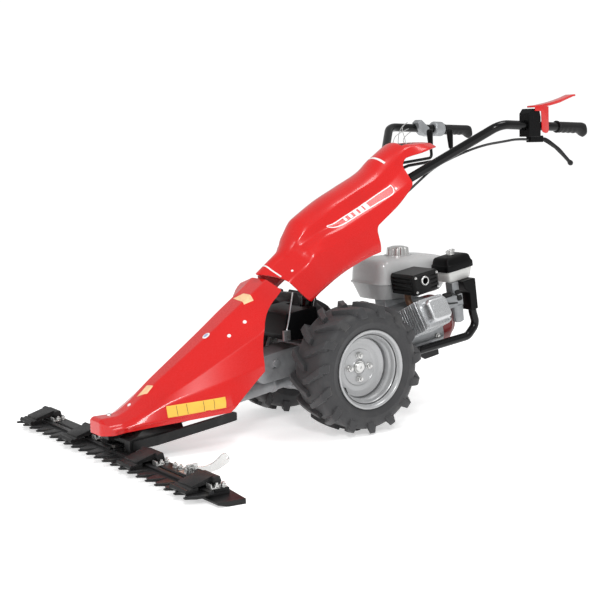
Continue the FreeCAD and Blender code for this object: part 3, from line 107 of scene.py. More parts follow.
def finish(name, colour, rough, metal=0.0, coat=0.0, grain=400.0, bump=0.02, depth=0.0004, vary=0.12,
           patch=9.0, spread=0.08, stretch=None, dust=None, sheen=0.0, shine=0.5):
    """Painted, moulded or cast finish: colour and gloss that vary, and a fine surface grain."""
    mat = bpy.data.materials.new(name)
    mat.use_nodes = True
    tree = mat.node_tree
    shader = tree.nodes["Principled BSDF"]
    fine = noise(tree, grain, 2.0, stretch)
    dark = tuple(c * (1 - vary) for c in colour)
    light = tuple(min(1.0, c * (1 + vary)) for c in colour)
    shade = blend_colours(tree, ramp(tree, noise(tree, patch, 4.0), 0, 1), dark, light)
    if dust:
        speckle = ramp(tree, noise(tree, DUST_SCALE, 6.0), 0, 0.5, 0.52, 0.75)
        shade = blend_colours(tree, speckle, shade, dust)
    tree.links.new(shade, shader.inputs["Base Color"])
    tree.links.new(ramp(tree, fine, rough - spread, rough + spread), shader.inputs["Roughness"])
    for socket, value in (("Metallic", metal), ("Coat Weight", coat), ("Coat Roughness", COAT_ROUGHNESS),
                          ("Sheen Weight", sheen), ("Specular IOR Level", shine)):
        shader.inputs[socket].default_value = value
    relief = add_node(tree, "Bump", strength=bump, distance=depth)
    tree.links.new(fine, relief.inputs["Height"])
    tree.links.new(relief.outputs["Normal"], shader.inputs["Normal"])
    return mat


RED = (0.60, 0.005, 0.004)
DEEP_BLACK = (0.003, 0.003, 0.0033)
MATERIALS = {
    "red_panel": finish("gloss_red_panel", RED, 0.27, coat=0.3, grain=900, bump=0.008, vary=0.05, spread=0.04,
                        shine=0.4),
    "red_paint": finish("gloss_red_paint", RED, 0.28, coat=0.4, grain=700, vary=0.06),
    "dark_red": finish("dark_red_cover", (0.16, 0.008, 0.008), 0.35, grain=600, bump=0.05),
    "black_gloss": finish("gloss_black_tube", DEEP_BLACK, 0.18, coat=0.15, grain=500, shine=0.2),
    "black_satin": finish("satin_black_paint", (0.007, 0.007, 0.0075), 0.4, grain=500, bump=0.06,
                          dust=(0.03, 0.03, 0.03), shine=0.3),
    "black_iron": finish("black_iron_casting", (0.009, 0.009, 0.0095), 0.46, grain=260, bump=0.35,
                         depth=0.0008, dust=(0.045, 0.043, 0.04), shine=0.35),
    "black_plastic": finish("black_moulding", DEEP_BLACK, 0.4, grain=1500, bump=0.12, shine=0.12),
    "muffler": finish("heat_black_paint", (0.004, 0.004, 0.004), 0.38, grain=700, bump=0.1,
                      dust=(0.014, 0.013, 0.012), shine=0.2),
    "pale_plastic": finish("pale_moulding", (0.68, 0.68, 0.66), 0.4, grain=900, bump=0.05, vary=0.04),
    "tank": finish("light_grey_tank", (0.55, 0.56, 0.56), 0.3, coat=0.4, grain=500, vary=0.04),
    "casting": finish("grey_casting", (0.29, 0.30, 0.31), 0.42, metal=0.55, grain=320, bump=0.3, depth=0.0008,
                      vary=0.2, patch=30),
    "bright": finish("bright_casting", (0.56, 0.57, 0.58), 0.3, metal=0.8, grain=420, bump=0.05, vary=0.08),
    "steel": finish("ground_steel", (0.42, 0.42, 0.43), 0.34, metal=0.9, grain=600, bump=0.1,
                    stretch=(1.0, 0.06, 1.0), dust=(0.16, 0.13, 0.1)),
    "dark_steel": finish("blackened_steel", (0.035, 0.035, 0.037), 0.38, metal=0.8, grain=500, bump=0.12,
                         stretch=(1.0, 0.1, 1.0), dust=(0.09, 0.08, 0.07)),
    "zinc": finish("zinc_plate", (0.62, 0.62, 0.61), 0.3, metal=0.9, grain=500, bump=0.1),
    "rim_silver": finish("silver_wheel_paint", (0.42, 0.425, 0.43), 0.32, metal=0.35, coat=0.2, grain=800,
                         bump=0.03, vary=0.06),
    "brown_steel": finish("heat_stained_steel", (0.14, 0.075, 0.045), 0.5, metal=0.6, grain=200, bump=0.2,
                          vary=0.45, patch=60),
    "tyre": finish("black_tyre_rubber", (0.028, 0.028, 0.030), 0.62, grain=420, bump=0.25, depth=0.0006,
                   dust=(0.055, 0.053, 0.05), sheen=0.1),
    "rubber": finish("grip_rubber", (0.006, 0.006, 0.0065), 0.5, grain=900, bump=0.2, shine=0.3),
    "cable_sheath": finish("cable_sheath", (0.02, 0.02, 0.021), 0.4, grain=500, bump=0.1),
    "yellow_label": finish("yellow_film", (0.86, 0.50, 0.06), 0.4, grain=300, vary=0.05, patch=40),
    "orange_label": finish("pale_orange_film", (0.85, 0.55, 0.30), 0.4, grain=300, patch=80),
    "white_print": finish("white_film", (0.82, 0.80, 0.79), 0.35, grain=300, vary=0.04),
    "pale_blue_print": finish("pale_blue_film", (0.35, 0.42, 0.62), 0.35, grain=300, vary=0.1),
    "dark_print": finish("dark_film", (0.03, 0.028, 0.025), 0.4, grain=300),
    "floor": finish("pale_floor", (0.90, 0.90, 0.90), 0.6, grain=60, bump=0.01, vary=0.01, patch=1.0),
}

HOOD_NODES = ["hood", "left_hood_side", "right_hood_side", "left_hood_skirt", "right_hood_skirt"]
USES = {
    "red_panel": HOOD_NODES + ["front_cover"],
    "red_paint": ["stop_lever"],
    "dark_red": ["recoil_starter"],
    "black_gloss": ["left_handlebar", "right_handlebar", "guard_tube", "column", "gear_levers"],
    "black_satin": ["yoke", "cover_arms", "clutch_lever", "engine_bracket", "end_shoes", "cutter_beam",
                    "hood_bracket"],
    "black_iron": ["bar_carrier", "knife_holders", "finger_bar"],
    "black_plastic": ["air_cleaner", "intake_duct", "side_box", "gear_knobs", "control_box", "console"],
    "muffler": ["muffler"],
    "pale_plastic": ["air_base"],
    "tank": ["fuel_tank"],
    "casting": ["gear_case", "crankcase", "carburettor", "throttle_clamp", "throttle_bracket",
                "drive_housing"],
    "bright": ["valve_cover", "cylinder"],
    "dark_steel": ["knife", "drive_lever"],
    "steel": ["shift_rod", "left_hub", "right_hub"],
    "zinc": ["swath_bracket", "swath_lever", "fuel_cap"],
    "rim_silver": ["left_rim", "right_rim"],
    "brown_steel": ["exhaust_pipe"],
    "tyre": ["left_tyre", "right_tyre"],
    "rubber": ["left_grip", "right_grip"],
    "cable_sheath": ["clutch_cable"],
}
FINISH_OF = {node: key for key, nodes in USES.items() for node in nodes}
for node, key in FINISH_OF.items():
    frame["nodes"][node].data.materials.clear()
    frame["nodes"][node].data.materials.append(MATERIALS[key])


# ---------------------------------------------------------------- building
def place(name, bm, mat, angle=None, body="frame", stands_for=(), outward=None):
    """Make an object of a finished mesh, which moves with a body and may stand for solids of the frame.

    It is smooth but for edges over the angle. An open sheet is turned to face outward."""
    bmesh.ops.recalc_face_normals(bm, faces=bm.faces)
    if outward and sum(face.normal.dot(Vector(outward)) * face.calc_area() for face in bm.faces) < 0:
        bmesh.ops.reverse_faces(bm, faces=bm.faces)
    mesh = bpy.data.meshes.new(name)
    bm.to_mesh(mesh)
    bm.free()
    mesh.materials.append(MATERIALS[mat])
    if angle:
        mesh.shade_smooth()
        mesh.set_sharp_from_angle(angle=math.radians(angle))
    piece = bpy.data.objects.new(name, mesh)
    bpy.context.scene.collection.objects.link(piece)
    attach(piece, body)
    if stands_for:
        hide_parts(*stands_for)
    return piece


def modify(piece, kind, **settings):
    """Give a piece a modifier with the named settings."""
    step = piece.modifiers.new(kind.lower(), kind)
    for name, value in settings.items():
        setattr(step, name, value)
    return piece


def weigh(piece):
    """Shade each large face as flat and leave the turn to the small faces between them."""
    return modify(piece, "WEIGHTED_NORMAL", keep_sharp=True)


def round_edges(bm, edges, width, segments=2):
    """Round off edges of a mesh."""
    bmesh.ops.bevel(bm, geom=edges, offset=width, offset_type="OFFSET", segments=segments, profile=0.5,
                    affect="EDGES", material=-1)


def turned_edges(bm, least):
    """The edges at which a mesh turns by more than the least angle, in radians."""
    return [edge for edge in bm.edges if edge.calc_face_angle(0.0) > least]


def moved(bm, matrix):
    """A mesh after it is moved and turned."""
    bmesh.ops.transform(bm, matrix=matrix, verts=bm.verts)
    return bm


def shift(x, y, z):
    """Move by metres."""
    return Matrix.Translation((x, y, z))


def turn(degrees, axis):
    """Turn about an axis through the origin."""
    return Matrix.Rotation(math.radians(degrees), 4, axis)


def join(bm, other):
    """Add another mesh's faces to this one."""
    mesh = bpy.data.meshes.new("part")
    other.to_mesh(mesh)
    other.free()
    bm.from_mesh(mesh)
    bpy.data.meshes.remove(mesh)


def extruded(outline, along):
    """Closed block grown from a flat outline along a direction."""
    bm = bmesh.new()
    face = bm.faces.new([bm.verts.new(spot) for spot in outline])
    grown = bmesh.ops.extrude_face_region(bm, geom=[face])["geom"]
    bmesh.ops.translate(bm, verts=[item for item in grown if isinstance(item, bmesh.types.BMVert)], vec=along)
    bmesh.ops.recalc_face_normals(bm, faces=bm.faces)
    return bm


def bridged(rows, closed):
    """Sheet through rows of points, each row open or a closed ring."""
    bm = bmesh.new()
    before = None
    for row in rows:
        verts = [bm.verts.new(spot) for spot in row]
        edges = [bm.edges.new((verts[i - 1], verts[i])) for i in range(0 if closed else 1, len(verts))]
        if before:
            bmesh.ops.bridge_loops(bm, edges=before + edges)
        before = edges
    return bm


def spun(profile, steps, closed=False):
    """Surface of revolution about z from a profile of radius and height, in millimetres."""
    bm = bmesh.new()
    verts = [bm.verts.new((radius / 1000, 0, height / 1000)) for radius, height in profile]
    for pair in zip(verts, verts[1:] + (verts[:1] if closed else [])):
        bm.edges.new(pair)
    bmesh.ops.spin(bm, geom=bm.verts[:] + bm.edges[:], cent=(0, 0, 0), axis=UP, angle=2 * math.pi,
                   steps=steps, use_merge=True)
    bmesh.ops.remove_doubles(bm, verts=bm.verts, dist=1e-5)
    return bm


def rounded_profile(points, radius, closed=False):
    """A profile with each of its corners replaced by a short curve."""
    result = []
    count = len(points)
    for i, corner in enumerate(points):
        if not closed and i in (0, count - 1):
            result.append(corner)
            continue
        here = Vector(corner)
        back, ahead = Vector(points[i - 1]) - here, Vector(points[(i + 1) % count]) - here
        width = min(radius, 0.45 * back.length, 0.45 * ahead.length)
        start, end = here + back.normalized() * width, here + ahead.normalized() * width
        for t in (0, 0.25, 0.5, 0.75, 1):
            result.append(tuple(start * (1 - t) ** 2 + here * 2 * t * (1 - t) + end * t * t))
    return result


def softened(corners, reach):
    """The inner corners of a section, each replaced by three points round it."""
    section = []
    for before, corner, after in zip(corners, corners[1:], corners[2:]):
        back, ahead = before - corner, after - corner
        width = min(reach, 0.4 * back.length, 0.4 * ahead.length)
        start, end = corner + back.normalized() * width, corner + ahead.normalized() * width
        section += [tuple(start), tuple((start + end + 2 * corner) / 4), tuple(end)]
    return section


def eased(stops, values, s):
    """Value at s on a smooth line through the stops which never swings past them."""
    gaps = [b - a for a, b in zip(stops, stops[1:])]
    rises = [(b - a) / gap for a, b, gap in zip(values, values[1:], gaps)]
    slopes = [rises[0]]
    for before, after in zip(rises, rises[1:]):
        slopes.append(0.0 if before * after <= 0 else 2 * before * after / (before + after))
    slopes.append(rises[-1])
    i = max(0, min(len(gaps) - 1, sum(1 for stop in stops if stop <= s) - 1))
    t = (s - stops[i]) / gaps[i]
    start = (1 + 2 * t) * (1 - t) ** 2 * values[i] + t * (1 - t) ** 2 * gaps[i] * slopes[i]
    return start + t * t * (3 - 2 * t) * values[i + 1] + t * t * (t - 1) * gaps[i] * slopes[i + 1]


def line_at(stations, i, s):
    """Where line i of a form runs at s: one value, or a pair of them."""
    stops = [row[0] for row in stations]
    if isinstance(stations[0][i], tuple):
        return tuple(eased(stops, [row[i][k] for row in stations], s) for k in (0, 1))
    return eased(stops, [row[i] for row in stations], s)


# ---------------------------------------------------------------- solids that keep their shape
FLAT_ANGLE = math.radians(0.6)   # faces that differ by less are one flat face


def crease_edges(bm, soft, hard):
    """Crease a cage's edges before it is rounded: not below soft degrees, whole from hard degrees."""
    layer = bm.edges.layers.float.new("crease_edge")
    for edge in bm.edges:
        if len(edge.link_faces) == 2:
            angle = math.degrees(edge.calc_face_angle(0.0))
            edge[layer] = min(1.0, max(0.0, (angle - soft) / (hard - soft)))


def dressed(node, width, angle=35.0, levels=0, soft=0.0, hard=0.0):
    """A node with its flat faces whole and its edges rounded off, and smoothed if levels are given."""
    bm = bmesh.new()
    bm.from_mesh(frame["nodes"][node].data)
    bmesh.ops.remove_doubles(bm, verts=bm.verts, dist=2e-5)
    bmesh.ops.dissolve_limit(bm, angle_limit=FLAT_ANGLE, verts=bm.verts, edges=bm.edges)
    if levels:
        crease_edges(bm, soft, hard)
    smooth_angle = None if levels else angle
    piece = place(node + "_dressed", bm, FINISH_OF[node], smooth_angle, BODY_OF[node], [node])
    if width:
        modify(piece, "BEVEL", width=width, segments=2, limit_method="ANGLE",
               angle_limit=math.radians(angle))
    if levels:
        modify(piece, "SUBSURF", levels=levels, render_levels=levels)
        piece.data.shade_smooth()


# Edge width, an edge's least angle, levels of smoothing, and the angles where creases begin and are whole.
ROUNDED = {
    "fuel_tank": (0.0008, 60, 2, 40, 80),
    "air_cleaner": (0.0012, 50, 1, 40, 80),
    "air_base": (0.001, 50, 1, 40, 80),
    "recoil_starter": (0.0012, 40, 2, 30, 60),
    "left_grip": (0, 50, 2, 50, 90),
    "right_grip": (0, 50, 2, 50, 90),
    "clutch_lever": (0, 50, 2, 50, 80),
    "gear_knobs": (0.001, 60, 2, 50, 80),
    "drive_housing": (0.002, 35, 1, 32, 40),
    "gear_case": (0.002, 32, 1, 30, 40),
}
for node, sizes in ROUNDED.items():
    dressed(node, *sizes)

EDGED = {
    "crankcase": 0.003, "cylinder": 0.0006, "muffler": 0.0012, "bar_carrier": 0.003, "knife_holders": 0.0015,
    "finger_bar": 0.0012, "cutter_beam": 0.001, "end_shoes": 0.0012, "knife": 0.0004, "drive_lever": 0.001,
    "cover_arms": 0.0012, "engine_bracket": 0.0015, "intake_duct": 0.003, "carburettor": 0.002,
    "side_box": 0.002, "yoke": 0.002, "control_box": 0.003, "throttle_clamp": 0.0015,
    "throttle_bracket": 0.0015, "hood_bracket": 0.0008, "console": 0.0006, "swath_bracket": 0.0008,
    "swath_lever": 0.0008, "shift_rod": 0.0006,
}
for node, width in EDGED.items():
    dressed(node, width)


# ---------------------------------------------------------------- hood
HOOD_TIP = (216.0, 486.0)      # x and z of the middle of its front edge
HOOD_SLOPE = math.radians(32.0)
HOOD_END = 748
HOOD_WALL = 0.004
HOOD_CREASE = 7.0              # reach of the rounding at each crease
CROWN_STEPS = 8
# Along the hood's slope: the middle of the top, then one side's ridge, groove, shoulder, flank and belt.
HOOD_STATIONS = [
    (-6, 0, (22, -9), (38, -20), (56, -32), (82, -58), (106, -100)),
    (60, 6, (24, -7), (42, -17), (64, -30), (90, -46), (113, -122)),
    (95, 8, (30, -5), (48, -15), (68, -28), (93, -45), (115, -121)),
    (118, 14, (34, 3), (48, -9), (70, -24), (97, -42), (116, -120)),
    (150, 33, (47, 17), (57, -2), (81, -11), (103, -34), (117, -120)),
    (205, 58, (54, 28), (64, -1), (91, -13), (106, -48), (118, -119)),
    (300, 55, (62, 27), (70, -11), (97, -34), (110, -70), (119, -128)),
    (400, 43, (62, 19), (71, -20), (100, -48), (112, -90), (120, -146)),
    (500, 33, (60, 6), (71, -30), (101, -58), (112, -104), (118, -160)),
    (560, 41, (58, 9), (71, -26), (100, -63), (110, -104), (114, -160)),
    (640, 39, (62, 18), (76, -15), (98, -42), (104, -90), (108, -150)),
    (700, 4, (60, -2), (80, -20), (94, -50), (100, -90), (104, -150)),
    (HOOD_END, -26, (50, -30), (72, -44), (88, -70), (94, -110), (98, -160)),
]
HOOD_FOOT = -230.0             # below every hem
# The lower edge, as the distance along the slope and the height above it.
HOOD_HEM = [(-6, 2), (0, -3), (28, -33), (34, -52), (47, -124), (54, -136), (100, -132.5), (150, -132),
            (190, -134), (230, -139), (268, -146), (310, -156), (340, -165.5), (347, -167), (353, -160),
            (358, -150), (378, -104), (390, -96), (476, -93), (530, -86), (576, -75), (582, -68), (594, -24),
            (602, -12), (622, -4), (640, -8), (684, -22), (724, -34), (HOOD_END, -43)]
# The four sides of the console's opening: a place on each and the direction to the inside.
CONSOLE_EDGES = [(at(x, y, 0), Vector(inward)) for x, y, inward in (
    (-398.3, 0, (1, 0, 0)), (-317.7, 0, (-1, 0, 0)), (-398.3, 34.3, (0.124, -0.992, 0)),
    (-398.3, -34.3, (0.124, 0.992, 0)))]
CONSOLE_LOW = 0.75             # only faces above this height belong to the opening


def on_slope(s, n):
    """The x and z of a place along the hood's slope and above it, in millimetres."""
    return (HOOD_TIP[0] - math.cos(HOOD_SLOPE) * s + math.sin(HOOD_SLOPE) * n,
            HOOD_TIP[1] + math.sin(HOOD_SLOPE) * s + math.cos(HOOD_SLOPE) * n)


def hood_at(s, y, n):
    """Place given along the hood's slope, across it and above it, in millimetres."""
    x, z = on_slope(s, n)
    return at(x, y, z)


def hood_lines(s):
    """Half section at s from the middle of the crowned top down to below the belt."""
    top = line_at(HOOD_STATIONS, 1, s)
    lines = [line_at(HOOD_STATIONS, i, s) for i in range(2, 7)]
    half, side = lines[0]
    rise = max(top - side, 0.5)
    radius = (half * half + rise * rise) / (2 * rise)
    reach = math.asin(min(half / radius, 1.0)) / CROWN_STEPS
    crown = [(radius * math.sin(reach * i), top - radius + radius * math.cos(reach * i))
             for i in range(CROWN_STEPS)]
    foot = (lines[-1][0], HOOD_FOOT)
    corners = [Vector(spot) for spot in (crown[-1], *lines, foot)]
    return crown + softened(corners, HOOD_CREASE) + [foot]


def hood_row(s):
    """The half section at s down to the hem, always with the same number of points."""
    hem = line_at(HOOD_HEM, 1, s)
    section = hood_lines(s)
    kept = [section[0]]
    for (y, n), (low_y, low_n) in zip(section, section[1:]):
        if low_n < hem <= n:
            end = (y + (n - hem) / (n - low_n) * (low_y - y), hem)
            break
        kept.append((low_y, low_n))
    else:
        end = kept[-1]
    if section[0][1] <= hem:
        kept, end = [section[0]], section[0]
    spare = len(section) - len(kept)
    y, n = kept[-1]
    return kept + [(y + (end[0] - y) * i / spare, n + (end[1] - n) * i / spare) for i in range(1, spare + 1)]


def hood_skin():
    """One pressed hood: its sections bridged from front to rear, with the console's hole and its wall."""
    close = [-5.5 + 2.0 * i for i in range(32)]     # rows where the front edge turns sharply
    wide = [58 + 6.9 * i for i in range(101)]
    stops = sorted({round(s, 2) for s in close + wide if s < HOOD_END} | {347, 358, HOOD_END})
    rows = []
    for s in stops:
        half = hood_row(s)
        rows.append([hood_at(s, y, n) for y, n in [(-y, n) for y, n in reversed(half[1:])] + half])
    bm = bridged(rows, False)
    bmesh.ops.remove_doubles(bm, verts=bm.verts, dist=1e-4)
    for edge, inward in CONSOLE_EDGES:
        bmesh.ops.bisect_plane(bm, geom=bm.verts[:] + bm.edges[:] + bm.faces[:], dist=1e-5, plane_co=edge,
                               plane_no=inward)
    opening = []
    for face in bm.faces:
        middle = face.calc_center_median()
        if middle.z > CONSOLE_LOW and all((middle - edge).dot(inward) > 0 for edge, inward in CONSOLE_EDGES):
            opening.append(face)
    bmesh.ops.delete(bm, geom=opening, context="FACES")
    piece = place("hood_skin", bm, "red_panel", stands_for=HOOD_NODES, outward=UP)
    piece.data.shade_smooth()
    weigh(modify(piece, "SOLIDIFY", thickness=HOOD_WALL, offset=-1.0))


hood_skin()


# ---------------------------------------------------------------- front cover
# From rear to nose: x, the top's height and half width, the upper crease, the lower crease and the edge.
COVER_STATIONS = [
    (150, 512, 42, (112, 480), (153, 270), (158, 140)),
    (210, 470, 40, (117, 443), (153, 258), (158, 130)),
    (285, 417, 38, (127, 331), (153, 242), (158, 120)),
    (330, 386, 37, (122, 306), (150, 229), (158, 118)),
    (410, 329, 34, (110, 264), (138, 205), (156, 114)),
    (580, 213, 25, (81, 176), (95, 158), (110, 99)),
    (700, 130, 19, (58, 115), (66, 107), (72, 87)),
    (716, 126, 21, (55, 110), (61, 102), (66, 85)),
    (800, 126, 30, (55, 106), (59, 99), (64, 76)),
]
COVER_WALL = 4.0
COVER_CREASE = 4.5
COVER_NOSE = 776.0
COVER_FOOT = 40.0              # below the cover's whole edge
NOSE_ROUND = 12.0
PLAN_ROUND = 11.0
PLAN_SHOULDER = 752
COVER_SIDE = [(820, 76), (740, 82), (650, 93), (510, 105), (420, 113), (300, 217), (150, 330), (208, 443),
              (212, 480), (240, 560), (820, 560)]
ARCH_RADIUS, ARCH_X, ARCH_Z, ARCH_STEPS = 306.0, -6.5, 226.0, 120
CROSS_HALF = 300


def cover_ring(x, inset):
    """Closed section of the cover's form at x, moved in by a wall."""
    top, half, *pairs = (line_at(COVER_STATIONS, i, x) for i in range(1, 6))
    reach = min(NOSE_ROUND, max(0.0, x - (COVER_NOSE - NOSE_ROUND - 0.5 - inset)))
    drop = NOSE_ROUND - math.sqrt(NOSE_ROUND ** 2 - reach * reach)
    edge_y, edge_z = pairs.pop()
    corners = [(0, top - inset), (half - 0.3 * inset, top - inset)]
    corners += [(y - inset, z - 0.4 * inset) for y, z in pairs]
    corners += [(edge_y - inset, edge_z + 14), (edge_y - inset, COVER_FOOT)]
    corners = [Vector((y, z - min(drop, max(0.0, z - 90)))) for y, z in corners]
    half_ring = softened(corners, COVER_CREASE) + [tuple(corners[-1])]
    return [(-y, z) for y, z in reversed(half_ring)] + [tuple(corners[0])] + half_ring


def cover_form(inset):
    """The cover's closed form, lofted from its rear to its nose."""
    close = {COVER_NOSE + 2 - 1.5 * i - inset for i in range(12)}     # rows round the nose
    stops = sorted({800, 150} | set(range(155, 760, 9)) | close)
    bm = bridged([[at(x, y, z) for y, z in cover_ring(x, inset)] for x in stops], True)
    bmesh.ops.holes_fill(bm, edges=[edge for edge in bm.edges if edge.is_boundary], sides=0)
    bmesh.ops.recalc_face_normals(bm, faces=bm.faces)
    return bm


def across(outline):
    """Block right across the machine with an outline seen from the side."""
    return extruded([at(x, -CROSS_HALF, z) for x, z in outline], (0, 2 * CROSS_HALF / 1000, 0))


def combined(first, second, operation):
    """One closed mesh cut by another or kept only inside it."""
    holders = []
    for bm in (first, second):
        mesh = bpy.data.meshes.new("form")
        bm.to_mesh(mesh)
        bm.free()
        holders.append(bpy.data.objects.new("form", mesh))
        bpy.context.scene.collection.objects.link(holders[-1])
    modify(holders[0], "BOOLEAN", operation=operation, solver="EXACT", object=holders[1])
    bpy.context.view_layer.update()
    mesh = bpy.data.meshes.new_from_object(holders[0].evaluated_get(bpy.context.evaluated_depsgraph_get()))
    result = bmesh.new()
    result.from_mesh(mesh)
    bpy.data.meshes.remove(mesh)
    for holder in holders:
        mesh = holder.data
        bpy.data.objects.remove(holder)
        bpy.data.meshes.remove(mesh)
    return result


def cover_panels():
    """Front cover: a thin shell of panels between rounded creases, with a round nose and wheel arches."""
    forms = []
    for inset in (0.0, COVER_WALL):
        front = COVER_NOSE - inset
        plan = rounded_profile([(front, 36 - inset), (PLAN_SHOULDER, 62 - inset), (100, 240), (100, -240),
                                (PLAN_SHOULDER, inset - 62), (front, inset - 36)], PLAN_ROUND, True)
        upright = extruded([at(x, y, 0) for x, y in plan], (0, 0, 0.6))
        forms.append(combined(cover_form(inset), upright, "INTERSECT"))
    arch = [(ARCH_X + ARCH_RADIUS * math.cos(2 * math.pi * i / ARCH_STEPS),
             ARCH_Z + ARCH_RADIUS * math.sin(2 * math.pi * i / ARCH_STEPS)) for i in range(ARCH_STEPS)]
    shell = combined(combined(*forms, "DIFFERENCE"), across(COVER_SIDE), "INTERSECT")
    shell = combined(shell, across(arch), "DIFFERENCE")
    bmesh.ops.remove_doubles(shell, verts=shell.verts, dist=2e-5)
    weigh(place("cover_panels", shell, "red_panel", 32, stands_for=["front_cover"]))


cover_panels()


# ---------------------------------------------------------------- wheels
TRACK_HALF = 200.0
TYRE_RADIUS = 199.0
CARCASS_RADIUS = 181.0
BEAD_RADIUS = 102.0
RIM_FLANGE = 119.0
RIM_HALF = 74.0
RIM_SHEET = 0.0022
DISC_Y = 14.0                  # of the disc's outer face from the middle of the tyre
STUD_COUNT, STUD_CIRCLE = 4, 0.036
WHEEL_NUT = (0.017, 0.009, 0.005, 0.0105)
WHEEL_STEPS = 96
LUG_COUNT = 15
LUG_SWEEP = 15.0               # how far a bar of the tread leans back, in degrees
LUG_CUTS = 13
LUG_EDGE = 0.0016
SHOULDER = 0.7                 # the share of a bar that lies on the tread; the rest runs down the wall
SHOULDER_Y, SHOULDER_SWEEP, SHOULDER_DROP = 73, 0.80, 4.9
VALVE_PROFILE = [(0, 0), (4.4, 0), (4.4, 6), (3.4, 9), (3.2, 24), (2.4, 26), (2.4, 31), (0, 31)]
VALVE_RADIUS, VALVE_TURN, VALVE_TILT = 0.083, 226, -28


def wheel_frame(side):
    """Turns wheel places, with the axle along z and the outer side up, into the frame."""
    turned = Matrix(((1, 0, 0, 0), (0, 0, side, 0), (0, 1, 0, 0), (0, 0, 0, 1)))
    return Matrix.Translation(at(0, side * TRACK_HALF, 1000 * AXLE_Z)) @ turned


def tread_lug(side):
    """One curved bar of the tread: from the middle outwards and back, over the shoulder and down the wall."""
    bm = bmesh.new()
    bmesh.ops.create_cube(bm, size=1.0)
    along = [edge for edge in bm.edges if abs(edge.verts[0].co.y - edge.verts[1].co.y) > 0.5]
    bmesh.ops.subdivide_edges(bm, edges=along, cuts=LUG_CUTS, use_grid_fill=True)
    for vert in bm.verts:
        share = vert.co.y + 0.5
        sideways, outer = vert.co.x * 2, vert.co.z > 0
        if share < SHOULDER:
            part = share / SHOULDER
            y, radius = -3 + part * 76, TYRE_RADIUS - 0.4 - 4.5 * part ** 3
            sweep = SHOULDER_SWEEP * part ** 1.25
        else:
            part = (share - SHOULDER) / (1 - SHOULDER)
            y = SHOULDER_Y + 7.0 * math.sin(part * math.pi / 2)
            radius = TYRE_RADIUS - SHOULDER_DROP - 33 * part ** 1.5
            sweep = SHOULDER_SWEEP + 0.2 * part
        half = (8.4 + 3.2 * share) * (1.0 if outer else 1.35)
        if not outer:
            radius = min(CARCASS_RADIUS, radius) - 8
            if share > SHOULDER:
                y -= 9.0 * math.sin(min(1.0, (share - SHOULDER) / 0.2) * math.pi / 2)
        lean = math.radians(LUG_SWEEP * sweep) - sideways * half / radius
        vert.co = Vector((-radius * math.sin(lean), radius * math.cos(lean), side * y)) / 1000
    bmesh.ops.recalc_face_normals(bm, faces=bm.faces)
    round_edges(bm, turned_edges(bm, math.radians(40)), LUG_EDGE)
    return bm


def tyre(hand, side):
    """Carcass with its moulded wall rings, and two rows of bars set half a step apart."""
    wall = [(BEAD_RADIUS + 1, 60), (BEAD_RADIUS + 10, 66), (RIM_FLANGE + 2, 69.5), (RIM_FLANGE + 7, 72.6),
            (RIM_FLANGE + 9, 72.6), (RIM_FLANGE + 11, 73.8), (140, 77.2), (141.5, 78.2), (144, 78.2),
            (145.5, 77.4), (156, 76.8), (166, 73.5), (174, 69), (CARCASS_RADIUS, 59),
            (CARCASS_RADIUS + 2, 45), (CARCASS_RADIUS + 3.4, 22), (CARCASS_RADIUS + 4, 0)]
    bm = spun(wall + [(radius, -y) for radius, y in reversed(wall[:-1])], WHEEL_STEPS, True)
    bmesh.ops.recalc_face_normals(bm, faces=bm.faces)
    for half, offset in ((1, 0.0), (-1, 0.5)):
        lug = tread_lug(half)
        for i in range(LUG_COUNT):
            join(bm, moved(lug.copy(), turn(360 * (i + offset) / LUG_COUNT, "Z")))
        lug.free()
    weigh(place(hand + "_tread", moved(bm, wheel_frame(side)), "tyre", 40, hand + "_wheel", [hand + "_tyre"]))


def pressed_rim(hand, side):
    """Rim with rolled lips, a stepped barrel and a dished disc, all of one sheet."""
    inner = [(RIM_FLANGE, -RIM_HALF + 3), (RIM_FLANGE - 1, -RIM_HALF), (RIM_FLANGE - 5, -RIM_HALF + 1),
             (BEAD_RADIUS + 1, -RIM_HALF + 10), (BEAD_RADIUS - 1, -40), (BEAD_RADIUS - 9, -26),
             (BEAD_RADIUS - 9, 8)]
    disc = [(96, 12), (88, DISC_Y + 6), (80, DISC_Y + 2), (72, DISC_Y), (58, DISC_Y), (55, DISC_Y - 3),
            (24, DISC_Y - 3), (22, DISC_Y - 1), (20.5, DISC_Y - 1)]
    outer = [(RIM_FLANGE, RIM_HALF - 3), (RIM_FLANGE - 1, RIM_HALF), (RIM_FLANGE - 5, RIM_HALF - 0.6),
             (RIM_FLANGE - 8, RIM_HALF - 4), (BEAD_RADIUS + 5, RIM_HALF - 13),
             (BEAD_RADIUS - 1, RIM_HALF - 18), (BEAD_RADIUS - 3, 44), (BEAD_RADIUS - 9, 36),
             (BEAD_RADIUS - 9, 8)]
    bm = bmesh.new()
    for profile in (inner, disc, outer):
        join(bm, spun(rounded_profile(profile, 2.5), WHEEL_STEPS))
    piece = place(hand + "_pressed_rim", moved(bm, wheel_frame(side)), "rim_silver", 40, hand + "_wheel",
                  [hand + "_rim"])
    modify(piece, "SOLIDIFY", thickness=RIM_SHEET, offset=0.0)


def cylinder(radius, end_radius, depth, segments, middle):
    """Settings of an upright round bar or cone about its middle."""
    return {"cap_ends": True, "segments": segments, "radius1": radius, "radius2": end_radius, "depth": depth,
            "matrix": shift(0, 0, middle)}


